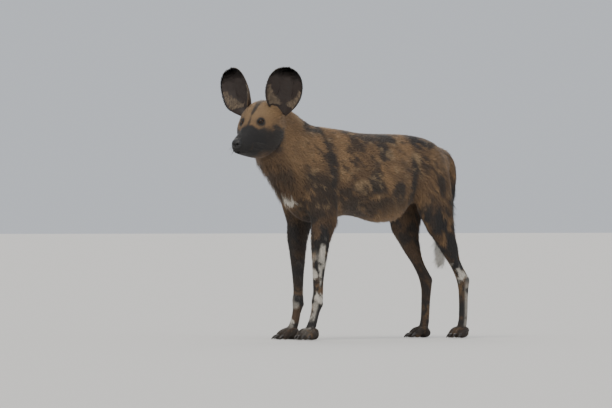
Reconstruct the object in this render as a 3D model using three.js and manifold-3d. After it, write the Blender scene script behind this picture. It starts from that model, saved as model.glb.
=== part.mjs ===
// African wild dog, standing, as a life-size still model of a museum kind.
// Millimetres, +Z up. The nose points towards -X and the animal's left side is towards -Y.
// The coat's outer surface is modelled whole, as tubes along the trunk, head, legs and tail,
// and is then parted into its named pieces by thin cuts.

import * as THREE from "three";
import { mergeVertices } from "three/addons/utils/BufferGeometryUtils.js";
import Module from "manifold-3d";

const wasm = await Module();
wasm.setup();

// Driving dimensions
const GAP = 0.3; // between the faces of two pieces that touch
const LEFT = -1; // the sign of y on the animal's left side
const RIGHT = 1;
const BOX_SHIFT = [140, 27]; // moves the middle of the animal's box to the origin

const HEAD_YAW = 20; // degrees that the head is turned to its left
const HEAD_PITCH = 15; // degrees that the nose points down
const NOSE_TIP = [-646, -85, 615];

const EYE_RADIUS = 11.5;
const EYE_BACK = 124; // from the nose tip, along the head
const EYE_OUT = 28.5;
const EYE_UP = 45;
const EYE_TURN = 38; // degrees that an eye looks outwards
const LID_THICKNESS = 2.2;
const LID_OPENING = [11.2, 6.4]; // half width and rise of the almond

const EAR_ROOT = [206, 67, 72]; // back, out and up in the head's frame
const EAR_LENGTH = 128;
const EAR_THICKNESS = 5;
const EAR_TURN = 13; // degrees that an ear opens outwards
const EAR_LEAN = 15; // degrees that an ear leans outwards
const EAR_TILT = 10; // degrees that an ear leans back

const FORE_STRIDE = 10; // the left forefoot is this far ahead of the middle, the right one behind
const HIND_STRIDE = 24; // the left hind foot is this far behind the middle, the right one ahead
const TOE_OUT = 15; // degrees that each foot points outwards

// The trunk and neck by upright sections: x, top, bottom, widest level, half width,
// middle's y, roundness above and below (2 is an ellipse, more is squarer)
const TRUNK = [
  [-494, 650, 590, 620, 14, -28, 2.0, 2.0],
  [-486, 700, 556, 640, 44, -27, 2.0, 2.0],
  [-462, 741, 524, 645, 67, -22, 2.0, 2.0],
  [-430, 755, 492, 635, 74, -17, 2.0, 2.0],
  [-395, 747, 455, 618, 76, -11, 2.0, 2.0],
  [-350, 729, 404, 590, 78, -5, 1.9, 2.1],
  [-305, 706, 378, 560, 81, 0, 1.9, 2.2],
  [-258, 687, 370, 535, 85, 0, 1.9, 2.2],
  [-200, 680, 376, 528, 89, 0, 2.0, 2.2],
  [-130, 672, 391, 526, 93, 0, 2.2, 2.1],
  [-60, 663, 387, 520, 97, 0, 2.3, 2.1],
  [20, 660, 371, 512, 99, 0, 2.3, 2.2],
  [80, 660, 378, 520, 94, 0, 2.3, 2.2],
  [130, 659, 408, 540, 86, 0, 2.3, 2.1],
  [180, 655, 438, 556, 80, 0, 2.3, 2.1],
  [230, 645, 452, 560, 75, 0, 2.3, 2.1],
  [275, 624, 475, 552, 64, 0, 2.2, 2.1],
  [305, 600, 505, 548, 46, 0, 2.1, 2.1],
  [321, 572, 530, 550, 18, 0, 2.0, 2.0],
];

// The head by sections across it: distance back from the nose tip, top, bottom, widest level,
// half width, roundness above and below
const HEAD = [
  [2, 9, -22, -6, 13, 2.2, 2.0],
  [6, 15, -29, -8, 21, 2.3, 2.1],
  [14, 20, -35, -10, 26, 2.4, 2.2],
  [28, 24, -41, -12, 30, 2.5, 2.3],
  [46, 28, -49, -14, 33, 2.5, 2.3],
  [66, 33, -57, -15, 37, 2.4, 2.3],
  [82, 39, -63, -15, 42, 2.2, 2.3],
  [98, 49, -69, -12, 49, 2.1, 2.2],
  [113, 61, -74, -7, 57, 2.0, 2.1],
  [130, 74, -78, -2, 65, 2.0, 2.1],
  [148, 84, -81, 3, 71, 2.0, 2.0],
  [168, 92, -84, 6, 74, 2.0, 2.0],
  [188, 96, -86, 9, 74, 2.0, 2.0],
  [208, 95, -84, 12, 72, 2.0, 2.0],
  [228, 88, -76, 14, 66, 2.0, 2.0],
  [246, 74, -60, 15, 54, 2.0, 2.0],
  [256, 50, -32, 14, 30, 2.0, 2.0],
];

// A foreleg by level sections: z, x, distance out from the middle, half length, half width,
// share of the stride
const FORELEG = [
  [30, -298, 54, 19, 19, 1],
  [42, -292, 54, 19, 18, 1],
  [60, -284, 54, 17, 16.5, 1],
  [85, -276, 55, 17, 15.5, 1],
  [106, -270, 56, 19.5, 18, 1],
  [124, -268, 57, 20.5, 19, 1],
  [148, -266, 58, 19.5, 17, 1],
  [190, -266, 59, 22, 17, 1],
  [250, -265, 61, 28, 20.5, 0.9],
  [310, -263, 63, 35, 24.5, 0.8],
  [345, -257, 64, 42, 27, 0.7],
  [373, -253, 64, 48, 29, 0.6],
  [410, -260, 62, 56, 33, 0.4],
  [460, -268, 56, 68, 36, 0.2],
  [520, -262, 51, 70, 37, 0.1],
  [580, -246, 44, 60, 34, 0],
  [628, -230, 36, 40, 25, 0],
  [652, -224, 30, 14, 10, 0],
];

const HINDLEG = [
  [28, 314, 64, 19, 18, 1],
  [42, 319, 64, 18.5, 17, 1],
  [62, 323, 64, 17.5, 15.5, 1],
  [90, 325, 64, 18, 15, 1],
  [125, 326, 63, 19, 15, 1],
  [155, 327, 62, 21, 16, 1],
  [181, 325, 62, 25, 17.5, 1],
  [205, 315, 62, 26, 17, 1],
  [230, 298, 62, 25, 17.5, 1],
  [260, 278, 62, 27.5, 20, 1],
  [295, 257, 62, 35, 24.5, 1],
  [330, 240, 61, 46, 28, 0.95],
  [365, 227, 60, 58, 31, 0.8],
  [402, 220, 57, 69, 34, 0.55],
  [440, 218, 54, 76, 36.5, 0.35],
  [490, 214, 52, 82, 38, 0.15],
  [540, 210, 49, 78, 38, 0],
  [590, 207, 44, 60, 34, 0],
  [622, 206, 38, 34, 22, 0],
  [634, 206, 34, 12, 8, 0],
];

// The tail's middle line and half thickness, without its brush
const TAIL = [
  [262, 0, 590, 30],
  [300, 0, 588, 29],
  [334, 1, 566, 26],
  [350, 2, 530, 23],
  [351, 3, 490, 20],
  [346, 5, 440, 17],
  [339, 6, 390, 14.5],
  [331, 8, 340, 12],
  [323, 10, 290, 9],
  [316, 12, 245, 5],
];
const BRUSH_TOP = 425; // level where the brush begins
const BRUSH_TIP = [311, 13, 213];

const rad = THREE.MathUtils.degToRad;
const clamp = THREE.MathUtils.clamp;
const vec = (x, y, z) => new THREE.Vector3(x, y, z);

// Value of column c of a table of rows at key k, by a smooth curve through the rows
function along(rows, k, c) {
  let i = 0;
  while (i < rows.length - 2 && rows[i + 1][0] < k) i++;
  const slope = (j) => {
    const a = rows[Math.max(j - 1, 0)];
    const b = rows[Math.min(j + 1, rows.length - 1)];
    return (b[c] - a[c]) / (b[0] - a[0]);
  };
  const span = rows[i + 1][0] - rows[i][0];
  const t = clamp((k - rows[i][0]) / span, 0, 1);
  const t2 = t * t;
  const t3 = t2 * t;
  return (
    (2 * t3 - 3 * t2 + 1) * rows[i][c] +
    (t3 - 2 * t2 + t) * span * slope(i) +
    (3 * t2 - 2 * t3) * rows[i + 1][c] +
    (t3 - t2) * span * slope(i + 1)
  );
}

// Keys from the first row to the last: each span between rows in equal steps of at most step
function keysOf(rows, step) {
  const keys = [rows[0][0]];
  for (let i = 1; i < rows.length; i++) {
    const from = rows[i - 1][0];
    const n = Math.max(1, Math.round((rows[i][0] - from) / step));
    for (let j = 1; j <= n; j++) keys.push(from + ((rows[i][0] - from) * j) / n);
  }
  return keys;
}

// Signed power, for squared and pointed ovals
const bend = (v, roundness) => Math.sign(v) * Math.abs(v) ** (2 / roundness);

// A closed skin over rings of points, each ring with the same count. Its ends are fans about
// the ring's middle or, on a ring that doubles back on itself as a strip, ladders across it.
function skinOver(rings, strip = false) {
  const n = rings[0].length;
  const points = rings.flat();
  const faces = [];
  for (let i = 0; i < rings.length - 1; i++) {
    for (let j = 0; j < n; j++) {
      const a = i * n + j;
      const b = i * n + ((j + 1) % n);
      faces.push([a, b, b + n], [a, b + n, a + n]);
    }
  }
  const end = (rings.length - 1) * n;
  if (strip) {
    for (let j = 0; j < n / 2 - 1; j++) {
      const [a, b, c, d] = [j, j + 1, n - 2 - j, n - 1 - j];
      faces.push([a, c, b], [a, d, c], [end + a, end + b, end + c], [end + a, end + c, end + d]);
    }
  } else {
    const middle = (ring) => ring.reduce((s, p) => s.add(p), vec(0, 0, 0)).divideScalar(n);
    const first = points.push(middle(rings[0])) - 1;
    const last = points.push(middle(rings[rings.length - 1])) - 1;
    for (let j = 0; j < n; j++) {
      const k = (j + 1) % n;
      faces.push([first, k, j], [last, end + j, end + k]);
    }
  }
  const geometry = new THREE.BufferGeometry();
  const numbers = points.flatMap((p) => [p.x, p.y, p.z]);
  geometry.setAttribute("position", new THREE.Float32BufferAttribute(numbers, 3));
  geometry.setIndex(faces.flat());
  return geometry;
}

// A geometry as a solid for joining and cutting, turned right side out
function solid(geometry) {
  const bare = geometry.clone();
  for (const name of Object.keys(bare.attributes)) if (name !== "position") bare.deleteAttribute(name);
  const merged = mergeVertices(bare, 1e-4);
  const triVerts = new Uint32Array(merged.index.array);
  const make = () =>
    new wasm.Manifold(
      new wasm.Mesh({ numProp: 3, vertProperties: merged.attributes.position.array, triVerts }),
    );
  const made = make();
  if (made.volume() >= 0) return made;
  for (let i = 0; i < triVerts.length; i += 3) {
    [triVerts[i + 1], triVerts[i + 2]] = [triVerts[i + 2], triVerts[i + 1]];
  }
  return make();
}

// Only the largest closed surface of a solid
function largest(made) {
  return made.decompose().reduce((a, b) => (b.volume() > a.volume() ? b : a));
}

// A round tube along points with their half thicknesses
function tube(path, sides) {
  const curve = new THREE.CatmullRomCurve3(path.map((p) => vec(p[0], p[1], p[2])), false, "centripetal");
  const steps = Math.max(2, path.length - 1);
  const rings = [];
  let across = vec(0, 1, 0);
  for (let i = 0; i <= steps; i++) {
    const at = curve.getPoint(i / steps);
    const forward = curve.getTangent(i / steps);
    across = across.clone().addScaledVector(forward, -across.dot(forward)).normalize();
    const up = forward.clone().cross(across);
    const r = path[i][3];
    rings.push(
      Array.from({ length: sides }, (_, j) => {
        const a = (j / sides) * 2 * Math.PI;
        return at
          .clone()
          .addScaledVector(across, r * Math.cos(a))
          .addScaledVector(up, r * Math.sin(a));
      }),
    );
  }
  return skinOver(rings);
}

// Locks of long hair

const LOCK_RINGS = [
  // share of the length, share of the width
  [0, 0.75],
  [0.35, 1],
  [0.72, 0.72],
  [1, 0.08],
];
const LOCK_FLATNESS = 0.36; // thickness over width

// A seeded series of random numbers from -1 to 1
function series(seed) {
  let state = seed;
  return () => {
    state = (state * 1664525 + 1013904223) >>> 0;
    return state / 2 ** 31 - 1;
  };
}

// One lock: a flat, tapered blade sunk in at its root, which follows the lie, climbs to its height
// above the surface and swings aside towards its tip
function lock(root, normal, lie, { length, width, height, sink = 4, swing = 0 }) {
  const flow = lie.clone().addScaledVector(normal, -lie.dot(normal)).normalize();
  const across = normal.clone().cross(flow);
  const rings = LOCK_RINGS.map(([s, wide]) => {
    const at = root
      .clone()
      .addScaledVector(flow, length * s)
      .addScaledVector(normal, (height + sink) * Math.sin((s * Math.PI) / 2) - sink)
      .addScaledVector(across, swing * s * s);
    const half = (wide * width) / 2;
    return [
      at.clone().addScaledVector(across, half),
      at.clone().addScaledVector(normal, half * LOCK_FLATNESS),
      at.clone().addScaledVector(across, -half),
      at.clone().addScaledVector(normal, -half * LOCK_FLATNESS),
    ];
  });
  return skinOver(rings);
}

const smooth = THREE.MathUtils.smoothstep;

// Trunk and neck

const TRUNK_SIDES = 24;
const TRUNK_STEP = 36;
const RUFF_DEPTH = 13; // the throat's core lies this far under the tips of its locks

// How far the core is drawn in under the long hair of throat and chest
function drawnIn(x, angle) {
  const under = Math.max(-Math.sin(angle), 0) ** 2;
  return under * RUFF_DEPTH * smooth(x, -500, -440) * (1 - smooth(x, -340, -270));
}

// A point of the trunk's surface; angle 0 is its right side and 90 degrees its back
function trunkPoint(x, angle, grow = 0) {
  const at = (c) => along(TRUNK, x, c);
  const [top, bottom, level, half, middle] = [1, 2, 3, 4, 5].map(at);
  const s = Math.sin(angle);
  const c = Math.cos(angle);
  const roundness = s > 0 ? at(6) : at(7);
  const reach = (s > 0 ? top - level : level - bottom) + grow - drawnIn(x, angle);
  return vec(x, middle + (half + grow) * bend(c, roundness), level + reach * bend(s, roundness));
}

function trunk(grow = 0) {
  const keys = keysOf(TRUNK, TRUNK_STEP);
  return solid(
    skinOver(
      keys.map((x) =>
        Array.from({ length: TRUNK_SIDES }, (_, j) => trunkPoint(x, (j / TRUNK_SIDES) * 2 * Math.PI, grow)),
      ),
    ),
  );
}

// A lock rooted on the trunk at x and an angle round it
function trunkLock(x, angle, lie, sizes) {
  const root = trunkPoint(x, angle);
  const ahead = trunkPoint(x + 4, angle).sub(root);
  const round = trunkPoint(x, angle + 0.05).sub(root);
  return solid(lock(root, ahead.cross(round).normalize().negate(), lie, sizes));
}

// Staggered rows of locks round the underside: each row's x, its count and its spread in degrees
function lockRows(rows, lie, sizes, seed) {
  const next = series(seed);
  return rows.flatMap(([x, count, spread]) =>
    Array.from({ length: count }, (_, j) => {
      const angle = -90 + spread * ((2 * (j + 0.5)) / count - 1) + 4 * next();
      const bent = lie.clone().add(vec(0.12 * next(), 0, 0.12 * next()));
      const grown = { ...sizes, length: sizes.length * (1 + 0.15 * next()), swing: 5 * next() };
      return trunkLock(x + 4 * next(), rad(angle), bent, grown);
    }),
  );
}

const RUFF_LIE = vec(0.55, 0, -0.85);
const RUFF_LOCK = { length: 42, width: 19, height: 12 };
const NECK_ROWS = [
  [-484, 4, 40],
  [-464, 6, 62],
  [-442, 7, 66],
  [-419, 6, 62],
  [-397, 5, 52],
];
const CHEST_LOCK = { length: 40, width: 19, height: 11 };
const CHEST_ROWS = [
  [-362, 4, 42],
  [-338, 4, 36],
  [-312, 3, 24],
];

// Head

const HEAD_SIDES = 24;
const HEAD_STEP = 10;

// The head's frame: x back from the nose tip, y out to the animal's left, z up
const headFrame = new THREE.Matrix4()
  .makeTranslation(...NOSE_TIP)
  .multiply(new THREE.Matrix4().makeRotationZ(rad(HEAD_YAW)))
  .multiply(new THREE.Matrix4().makeRotationY(-rad(HEAD_PITCH)))
  .multiply(new THREE.Matrix4().makeScale(1, -1, 1));

// Swellings and hollows of the skull: back, out, up, reach, height
const SCULPT = [
  [112, 36, 46, 15, -2.5], // eye socket
  [110, 28, 62, 14, 3], // brow
  [126, 56, 22, 22, 3], // cheek bone
  [90, 27, 28, 13, -2.5], // hollow before the eye
  [38, 30, -14, 18, 2], // upper lip
];

function headPoint(back, angle, grow = 0) {
  const at = (c) => along(HEAD, back, c);
  const [top, bottom, level, half] = [1, 2, 3, 4].map(at);
  const s = Math.sin(angle);
  const c = Math.cos(angle);
  const roundness = s > 0 ? at(5) : at(6);
  const reach = s > 0 ? top - level : level - bottom;
  const p = vec(back, half * bend(c, roundness), level + reach * bend(s, roundness));
  const outward = vec(0, c / half, s / reach).normalize();
  let push = grow;
  for (const [b, o, u, reachOf, height] of SCULPT) {
    const far = Math.hypot(p.x - b, Math.abs(p.y) - o, p.z - u) / reachOf;
    push += height * Math.exp(-far * far);
  }
  return p.addScaledVector(outward, push);
}

function headSkin(grow = 0) {
  const keys = keysOf(HEAD, HEAD_STEP);
  return skinOver(
    keys.map((x) =>
      Array.from({ length: HEAD_SIDES }, (_, j) => headPoint(x, (j / HEAD_SIDES) * 2 * Math.PI, grow)),
    ),
  );
}

const inHead = (geometry) => solid(geometry.clone().applyMatrix4(headFrame));

// An eye's frame in the head's: its own z looks out between the lids
function eyeFrame(side) {
  return new THREE.Matrix4()
    .makeTranslation(EYE_BACK, side * EYE_OUT, EYE_UP)
    .multiply(
      new THREE.Matrix4().lookAt(
        vec(-Math.cos(rad(EYE_TURN)), side * Math.sin(rad(EYE_TURN)), 0.12),
        vec(0, 0, 0),
        vec(0, 0, 1),
      ),
    );
}

const eyeball = (side, grow = 0) =>
  inHead(new THREE.SphereGeometry(EYE_RADIUS + grow, 12, 8).applyMatrix4(eyeFrame(side)));

const lidDome = (side) =>
  inHead(
    new THREE.SphereGeometry(EYE_RADIUS + LID_THICKNESS + GAP, 16, 10).applyMatrix4(eyeFrame(side)),
  );

// The opening between the lids: an almond, higher towards the outer corner
function lidOpening(side) {
  const [half, rise] = LID_OPENING;
  const almond = new THREE.Shape();
  almond.moveTo(-half, -1);
  almond.quadraticCurveTo(-half * 0.2, rise * 1.9, half, 1);
  almond.quadraticCurveTo(half * 0.2, -rise * 1.8, -half, -1);
  const cut = new THREE.ExtrudeGeometry(almond, { depth: 30, bevelEnabled: false, curveSegments: 5 });
  cut.applyMatrix4(new THREE.Matrix4().makeScale(side, 1, 1));
  return inHead(cut.applyMatrix4(eyeFrame(side)));
}

// The line of the mouth, from one corner round under the nose to the other
const MOUTH_CORNER = 96;
const MOUTH_FRONT = 5;
const MOUTH_GAPE = 1.7; // half the groove's width
const MOUTH_STEPS = 10;

function mouthLevel(back) {
  return -22 - 17 * (back / MOUTH_CORNER) - 3 * Math.sin((Math.PI * back) / MOUTH_CORNER);
}

function mouthPath() {
  const points = [];
  for (let i = -MOUTH_STEPS; i <= MOUTH_STEPS; i++) {
    const share = Math.abs(i) / MOUTH_STEPS;
    const side = Math.sign(i) || 1;
    const back = MOUTH_FRONT + (MOUTH_CORNER - MOUTH_FRONT) * share ** 1.6;
    const level = mouthLevel(back);
    const [bottom, wide, half, roundness] = [2, 3, 4, 6].map((c) => along(HEAD, back, c));
    const s = clamp((wide - level) / (wide - bottom), 0, 0.98);
    const out = half * (1 - s ** roundness) ** (1 / roundness);
    points.push([back, side * out * Math.min(1, share * 6), level, MOUTH_GAPE]);
  }
  return points;
}

// Nose pad

const NOSE_PAD = [
  [-4, 9, -6, 1, 9],
  [-1, 14, -10, 2, 14],
  [5, 17.5, -12, 3, 17],
  [12, 19, -11, 4, 17.5],
  [19, 19, -8, 6, 14],
  [23, 17, 0, 9, 6],
];

const NOSE_SIDES = 16;
const NOSE_ROUNDNESS = 2.3;

function nosePad(grow = 0) {
  const keys = keysOf(NOSE_PAD, 6);
  const rings = keys.map((x) => {
    const [top, bottom, level, half] = [1, 2, 3, 4].map((c) => along(NOSE_PAD, x, c));
    return Array.from({ length: NOSE_SIDES }, (_, j) => {
      const a = (j / NOSE_SIDES) * 2 * Math.PI;
      const reach = Math.sin(a) > 0 ? top - level : level - bottom;
      const across = bend(Math.cos(a), NOSE_ROUNDNESS);
      return vec(x, (half + grow) * across, level + (reach + grow) * bend(Math.sin(a), NOSE_ROUNDNESS));
    });
  });
  rings[0].forEach((p) => (p.x -= grow));
  return inHead(skinOver(rings));
}

// A nostril: a comma that opens forwards and sweeps out and back
const nostril = (side) =>
  inHead(
    tube(
      [
        [-8, side * 6, 3, 3.6],
        [-1, side * 7, 3, 3.4],
        [5, side * 9, 2, 2.6],
        [9, side * 13, 0, 1.8],
        [10, side * 19, -2, 1.2],
      ],
      8,
    ),
  );

const septum = () => inHead(new THREE.BoxGeometry(12, 1.2, 9).translate(-6, 0, -6));

// Ears

const EAR_ARC = 8;

// Ear sections from root to tip: share of the length, half width, half angle of the cup
const EAR = [
  [-0.2, 20, 100],
  [-0.05, 36, 96],
  [0.12, 50, 82],
  [0.3, 57.5, 66],
  [0.5, 58.5, 56],
  [0.68, 54, 49],
  [0.82, 45, 43],
  [0.92, 32, 37],
  [0.98, 17, 33],
  [1.0, 7, 31],
];
const EAR_LEVELS = [-0.2, -0.06, 0.08, 0.22, 0.37, 0.53, 0.68, 0.81, 0.91, 0.965, 1];

// A point of the ear's cup at a share of its length and of its width, -1 to 1, and a depth
// into the cup from its back, before the ear is turned and set on the head
function earPoint(k, across, depth) {
  const half = along(EAR, k, 1);
  const cup = rad(along(EAR, k, 2));
  const radius = half / Math.sin(Math.min(cup, Math.PI / 2));
  const r = radius - depth;
  const a = cup * across;
  // the cup's back follows one gently bent line
  const back = 16 - 26 * k * k;
  return vec(back - radius + r * Math.cos(a), r * Math.sin(a), k * EAR_LENGTH);
}

// The place of an ear in the head's frame
const earFrame = (side) =>
  new THREE.Matrix4()
    .makeTranslation(EAR_ROOT[0], side * EAR_ROOT[1], EAR_ROOT[2])
    .multiply(new THREE.Matrix4().makeRotationX(-side * rad(EAR_LEAN)))
    .multiply(new THREE.Matrix4().makeRotationY(rad(EAR_TILT)))
    .multiply(new THREE.Matrix4().makeRotationZ(-side * rad(EAR_TURN)));

function ear(side) {
  const rings = EAR_LEVELS.map((k) => {
    const thick = EAR_THICKNESS * (1 - 0.45 * Math.max(k, 0));
    const arc = (depth, way) =>
      Array.from({ length: EAR_ARC + 1 }, (_, j) => earPoint(k, way * (1 - (2 * j) / EAR_ARC), depth));
    return [...arc(0, 1), ...arc(thick, -1)];
  });
  return inHead(skinOver(rings, true).applyMatrix4(earFrame(side)));
}

const EAR_HAIR = { length: 24, width: 6.5, height: 5, sink: 2.6 };
const EAR_HAIR_ROWS = [
  // share of the height, share of the width from the middle to an edge
  [0.06, 0.55],
  [0.17, 0.78],
  [0.3, 0.72],
  [0.44, 0.8],
];

// The long hair along both edges of an ear's hollow, which grows up and inwards
function earHair(side) {
  const next = series(side + 5);
  return EAR_HAIR_ROWS.flatMap(([k, edge]) =>
    [-1, 1].map((way) => {
      const across = way * edge;
      const thick = EAR_THICKNESS * (1 - 0.45 * k);
      const root = earPoint(k, across, thick);
      const inwards = earPoint(k, across, thick + 4).sub(root).normalize();
      const upwards = earPoint(k + 0.05, across, thick).sub(root).normalize();
      const sideways = earPoint(k, across - way * 0.1, thick).sub(root).normalize();
      const lie = upwards.addScaledVector(sideways, 0.55 + 0.15 * next());
      return inHead(lock(root, inwards, lie, EAR_HAIR).applyMatrix4(earFrame(side)));
    }),
  );
}

// Legs

const LEG_ROUNDNESS = 2.15;

function legRings(rows, side, stride, sides, step, grow = 0) {
  return keysOf(rows, step).map((z) => {
    const [x, out, length, width, share] = [1, 2, 3, 4, 5].map((c) => along(rows, z, c));
    return Array.from({ length: sides }, (_, j) => {
      const a = (j / sides) * 2 * Math.PI;
      return vec(
        x + stride * share + (length + grow) * bend(Math.cos(a), LEG_ROUNDNESS),
        side * out + (width + grow) * bend(Math.sin(a), LEG_ROUNDNESS),
        z,
      );
    });
  });
}

// A foot's frame: x forwards along the toes, y to the animal's left
function footFrame(rows, side, stride, level) {
  const x = along(rows, level, 1) + stride;
  const y = side * along(rows, level, 2);
  return new THREE.Matrix4()
    .makeTranslation(x, y, 0)
    .multiply(new THREE.Matrix4().makeRotationZ(Math.PI + rad(side === LEFT ? TOE_OUT : -TOE_OUT)));
}

const TOES = [-1.5, -0.5, 0.5, 1.5];
const FORE_FOOT = { reach: 0, spread: 15, scale: 1 };
const HIND_FOOT = { reach: -6, spread: 13.5, scale: 0.92 };
const SOLE = 4; // depth of pad that the floor presses flat

function foot(frame, { reach, spread, scale }) {
  const pieces = [];
  const put = (geometry) => pieces.push(solid(geometry.translate(0, 0, -SOLE).applyMatrix4(frame)));
  // the knuckles and the heel pad
  put(
    tube(
      [
        [-18, 0, 18, 9 * scale],
        [-8, 0, 20, 18 * scale],
        [6, 0, 23, 22 * scale],
        [20 + reach, 0, 25, 22.5 * scale],
        [37 + reach, 0, 21, 12 * scale],
      ],
      8,
    ).applyMatrix4(new THREE.Matrix4().makeScale(1, 1.2, 1)),
  );
  for (const toe of TOES) {
    const y = toe * spread;
    const set = reach - (Math.abs(toe) > 1 ? 10 : 0); // the outer toes are set back
    const splay = y * 0.1;
    const r = 12 * scale;
    put(
      tube(
        [
          [13 + set, y * 0.78, 29, r * 0.8],
          [26 + set, y * 0.9, 32, r],
          [41 + set, y, 26, r * 1.05],
          [54 + set, y + splay, 14, r],
          [64 + set, y + splay, 10, r * 0.5],
        ],
        6,
      ),
    );
    put(
      tube(
        [
          [58 + set, y + splay, 16, 4],
          [69 + set, y + splay * 1.2, 13, 3.6],
          [78 + set, y + splay * 1.5, 4, 0.9],
        ],
        4,
      ),
    );
  }
  return pieces;
}

const WRIST_PAD = [19, 106, 7]; // behind the wrist's middle, its level and half size
const FORE_MESH = [12, 26]; // sides, and step between sections
const HIND_MESH = [14, 28];
const FOOT_LEVEL = 55; // the leg's middle at this level stands over the foot's

const legSkin = (rows, side, stride, sides, step, grow = 0) =>
  solid(skinOver(legRings(rows, side, stride, sides, step, grow)));

function foreleg(side, stride) {
  const leg = legSkin(FORELEG, side, stride, ...FORE_MESH);
  const [behind, level, size] = WRIST_PAD;
  const pad = solid(
    new THREE.SphereGeometry(size, 10, 7).translate(
      along(FORELEG, level, 1) + stride + behind,
      side * along(FORELEG, level, 2),
      level,
    ),
  );
  return [leg, pad, ...foot(footFrame(FORELEG, side, stride, FOOT_LEVEL), FORE_FOOT)];
}

function hindleg(side, stride) {
  const leg = legSkin(HINDLEG, side, stride, ...HIND_MESH);
  return [leg, ...foot(footFrame(HINDLEG, side, stride, FOOT_LEVEL), HIND_FOOT)];
}

// Tail

// The brush's outer half thickness by level, out to the tips of its locks
const BRUSH = [
  [BRUSH_TIP[2], 5],
  [238, 15],
  [265, 21],
  [300, 25],
  [350, 25],
  [395, 21],
  [BRUSH_TOP, 17],
];
const BRUSH_CORE = 0.52; // the core's share of that thickness
const BRUSH_END = 252; // level where the core ends and only locks go on
const BRUSH_LOCKS = 22;

// The tail's middle line at a level, which runs on to the brush's tip below its last bone
function tailMiddle(z) {
  const rows = [[BRUSH_TIP[2], BRUSH_TIP[0], BRUSH_TIP[1]]];
  for (const [x, y, level] of TAIL.slice(5).reverse()) rows.push([level, x, y]);
  return [along(rows, z, 1), along(rows, z, 2)];
}

// Core and locks of the brush: the locks leave it in a spiral, hang down it and close over its tip
function tailBrush() {
  const corePath = [BRUSH_TOP + 1, 395, 350, 300, 270, BRUSH_END].map((z) => {
    const thick = z > BRUSH_TOP ? 17 : BRUSH_CORE * along(BRUSH, z, 1);
    return [...tailMiddle(Math.min(z, 440)), z, Math.max(thick, 6)];
  });
  const next = series(11);
  const golden = Math.PI * (3 - Math.sqrt(5));
  const locks = Array.from({ length: BRUSH_LOCKS }, (_, i) => {
    const z = THREE.MathUtils.lerp(BRUSH_TOP - 14, BRUSH_END + 6, (i + 0.5) / BRUSH_LOCKS);
    const turn = i * golden;
    const outward = vec(Math.cos(turn), Math.sin(turn), 0);
    const [x, y] = tailMiddle(z);
    const core = Math.max(BRUSH_CORE * along(BRUSH, z, 1), 6);
    const length = Math.min(52 + 6 * next(), z - BRUSH_TIP[2] - 2);
    const [tipX, tipY] = tailMiddle(z - length);
    const tip = along(BRUSH, z - length, 1);
    const lie = vec(tipX - x, tipY - y, -length);
    const root = vec(x, y, z).addScaledVector(outward, core);
    return solid(lock(root, outward, lie, { length, width: 15, height: tip - core, sink: 3, swing: 3 * next() }));
  });
  return wasm.Manifold.union([solid(tube(corePath, 12)), ...locks]);
}

// Parting

// A region as a polygon of y and z carried along x, raised by a distance
function region(outline, side, raise = 0) {
  const shape = new THREE.Shape(outline.map(([out, z]) => new THREE.Vector2(side * out, z + raise)));
  const depth = 1000;
  const body = new THREE.ExtrudeGeometry(shape, { depth, bevelEnabled: false });
  // the shape's x and y become y and z, and its depth becomes x
  body.applyMatrix4(new THREE.Matrix4().makeBasis(vec(0, 1, 0), vec(0, 0, 1), vec(1, 0, 0)));
  return solid(body.translate(-depth / 2, 0, 0));
}

// Leg regions, as distance out from the middle and level: the line that parts a leg from the
// trunk climbs outwards from the armpit or groin
const FORE_REGION = [
  [-40, -20],
  [-40, 352],
  [34, 366],
  [64, 392],
  [160, 450],
  [160, -20],
];
const HIND_REGION = [
  [-40, -20],
  [-40, 384],
  [26, 420],
  [150, 510],
  [150, -20],
];

// Splits a solid by a plane through a point, with the gap between: the part on the normal's side first
function split(made, point, normal) {
  const n = normal.clone().normalize();
  const d = n.dot(point);
  const here = made.trimByPlane([n.x, n.y, n.z], d + GAP / 2);
  const there = made.trimByPlane([-n.x, -n.y, -n.z], -d + GAP / 2);
  return [here, there];
}

const COAT = "#8a6238";
const BLACK = "#241e1b";
const WHITE = "#d9d0c0";
const DARK = "#1c1817";

const animal = new THREE.Group();
animal.name = "african_wild_dog";

function node(name, made, colour, roughness = 0.85) {
  const { numProp, vertProperties, triVerts } = largest(made).getMesh();
  const position = new Float32Array((vertProperties.length / numProp) * 3);
  for (let i = 0; i < position.length / 3; i++) {
    position.set(vertProperties.subarray(i * numProp, i * numProp + 3), i * 3);
  }
  const geometry = new THREE.BufferGeometry();
  geometry.setAttribute("position", new THREE.BufferAttribute(position, 3));
  geometry.setIndex(new THREE.BufferAttribute(triVerts, 1));
  geometry.computeVertexNormals();
  const material = new THREE.MeshStandardMaterial({ color: colour, roughness, metalness: 0 });
  const mesh = new THREE.Mesh(geometry, material);
  mesh.name = name;
  animal.add(mesh);
}

// Where the legs are parted: a point at no stride, and the cut's normal
const FORE_CUTS = [
  [vec(-255, 0, 330), vec(0, 0, 1)],
  [vec(-270, 0, 122), vec(0, 0, 1)],
  [vec(-284, 0, 49), vec(0.35, 0, 1)],
];
const HIND_CUTS = [
  [vec(228, 0, 352), vec(0.35, 0, 1)],
  [vec(318, 0, 204), vec(0.55, 0, 1)],
  [vec(322, 0, 49), vec(0.1, 0, 1)],
];
const TAIL_CUT = [vec(345, 0, BRUSH_TOP), vec(0, 0, 1)];
const NECK_CUT = [vec(-290, 0, 715), vec(-0.96, 0, 0.28)];
const HEAD_CUT = [vec(214, 0, 40), vec(-1, 0, 0.32)]; // in the head's frame
const UP = [0, 0, 1];

const LEG_COLOURS = [COAT, BLACK, WHITE, BLACK];

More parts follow.
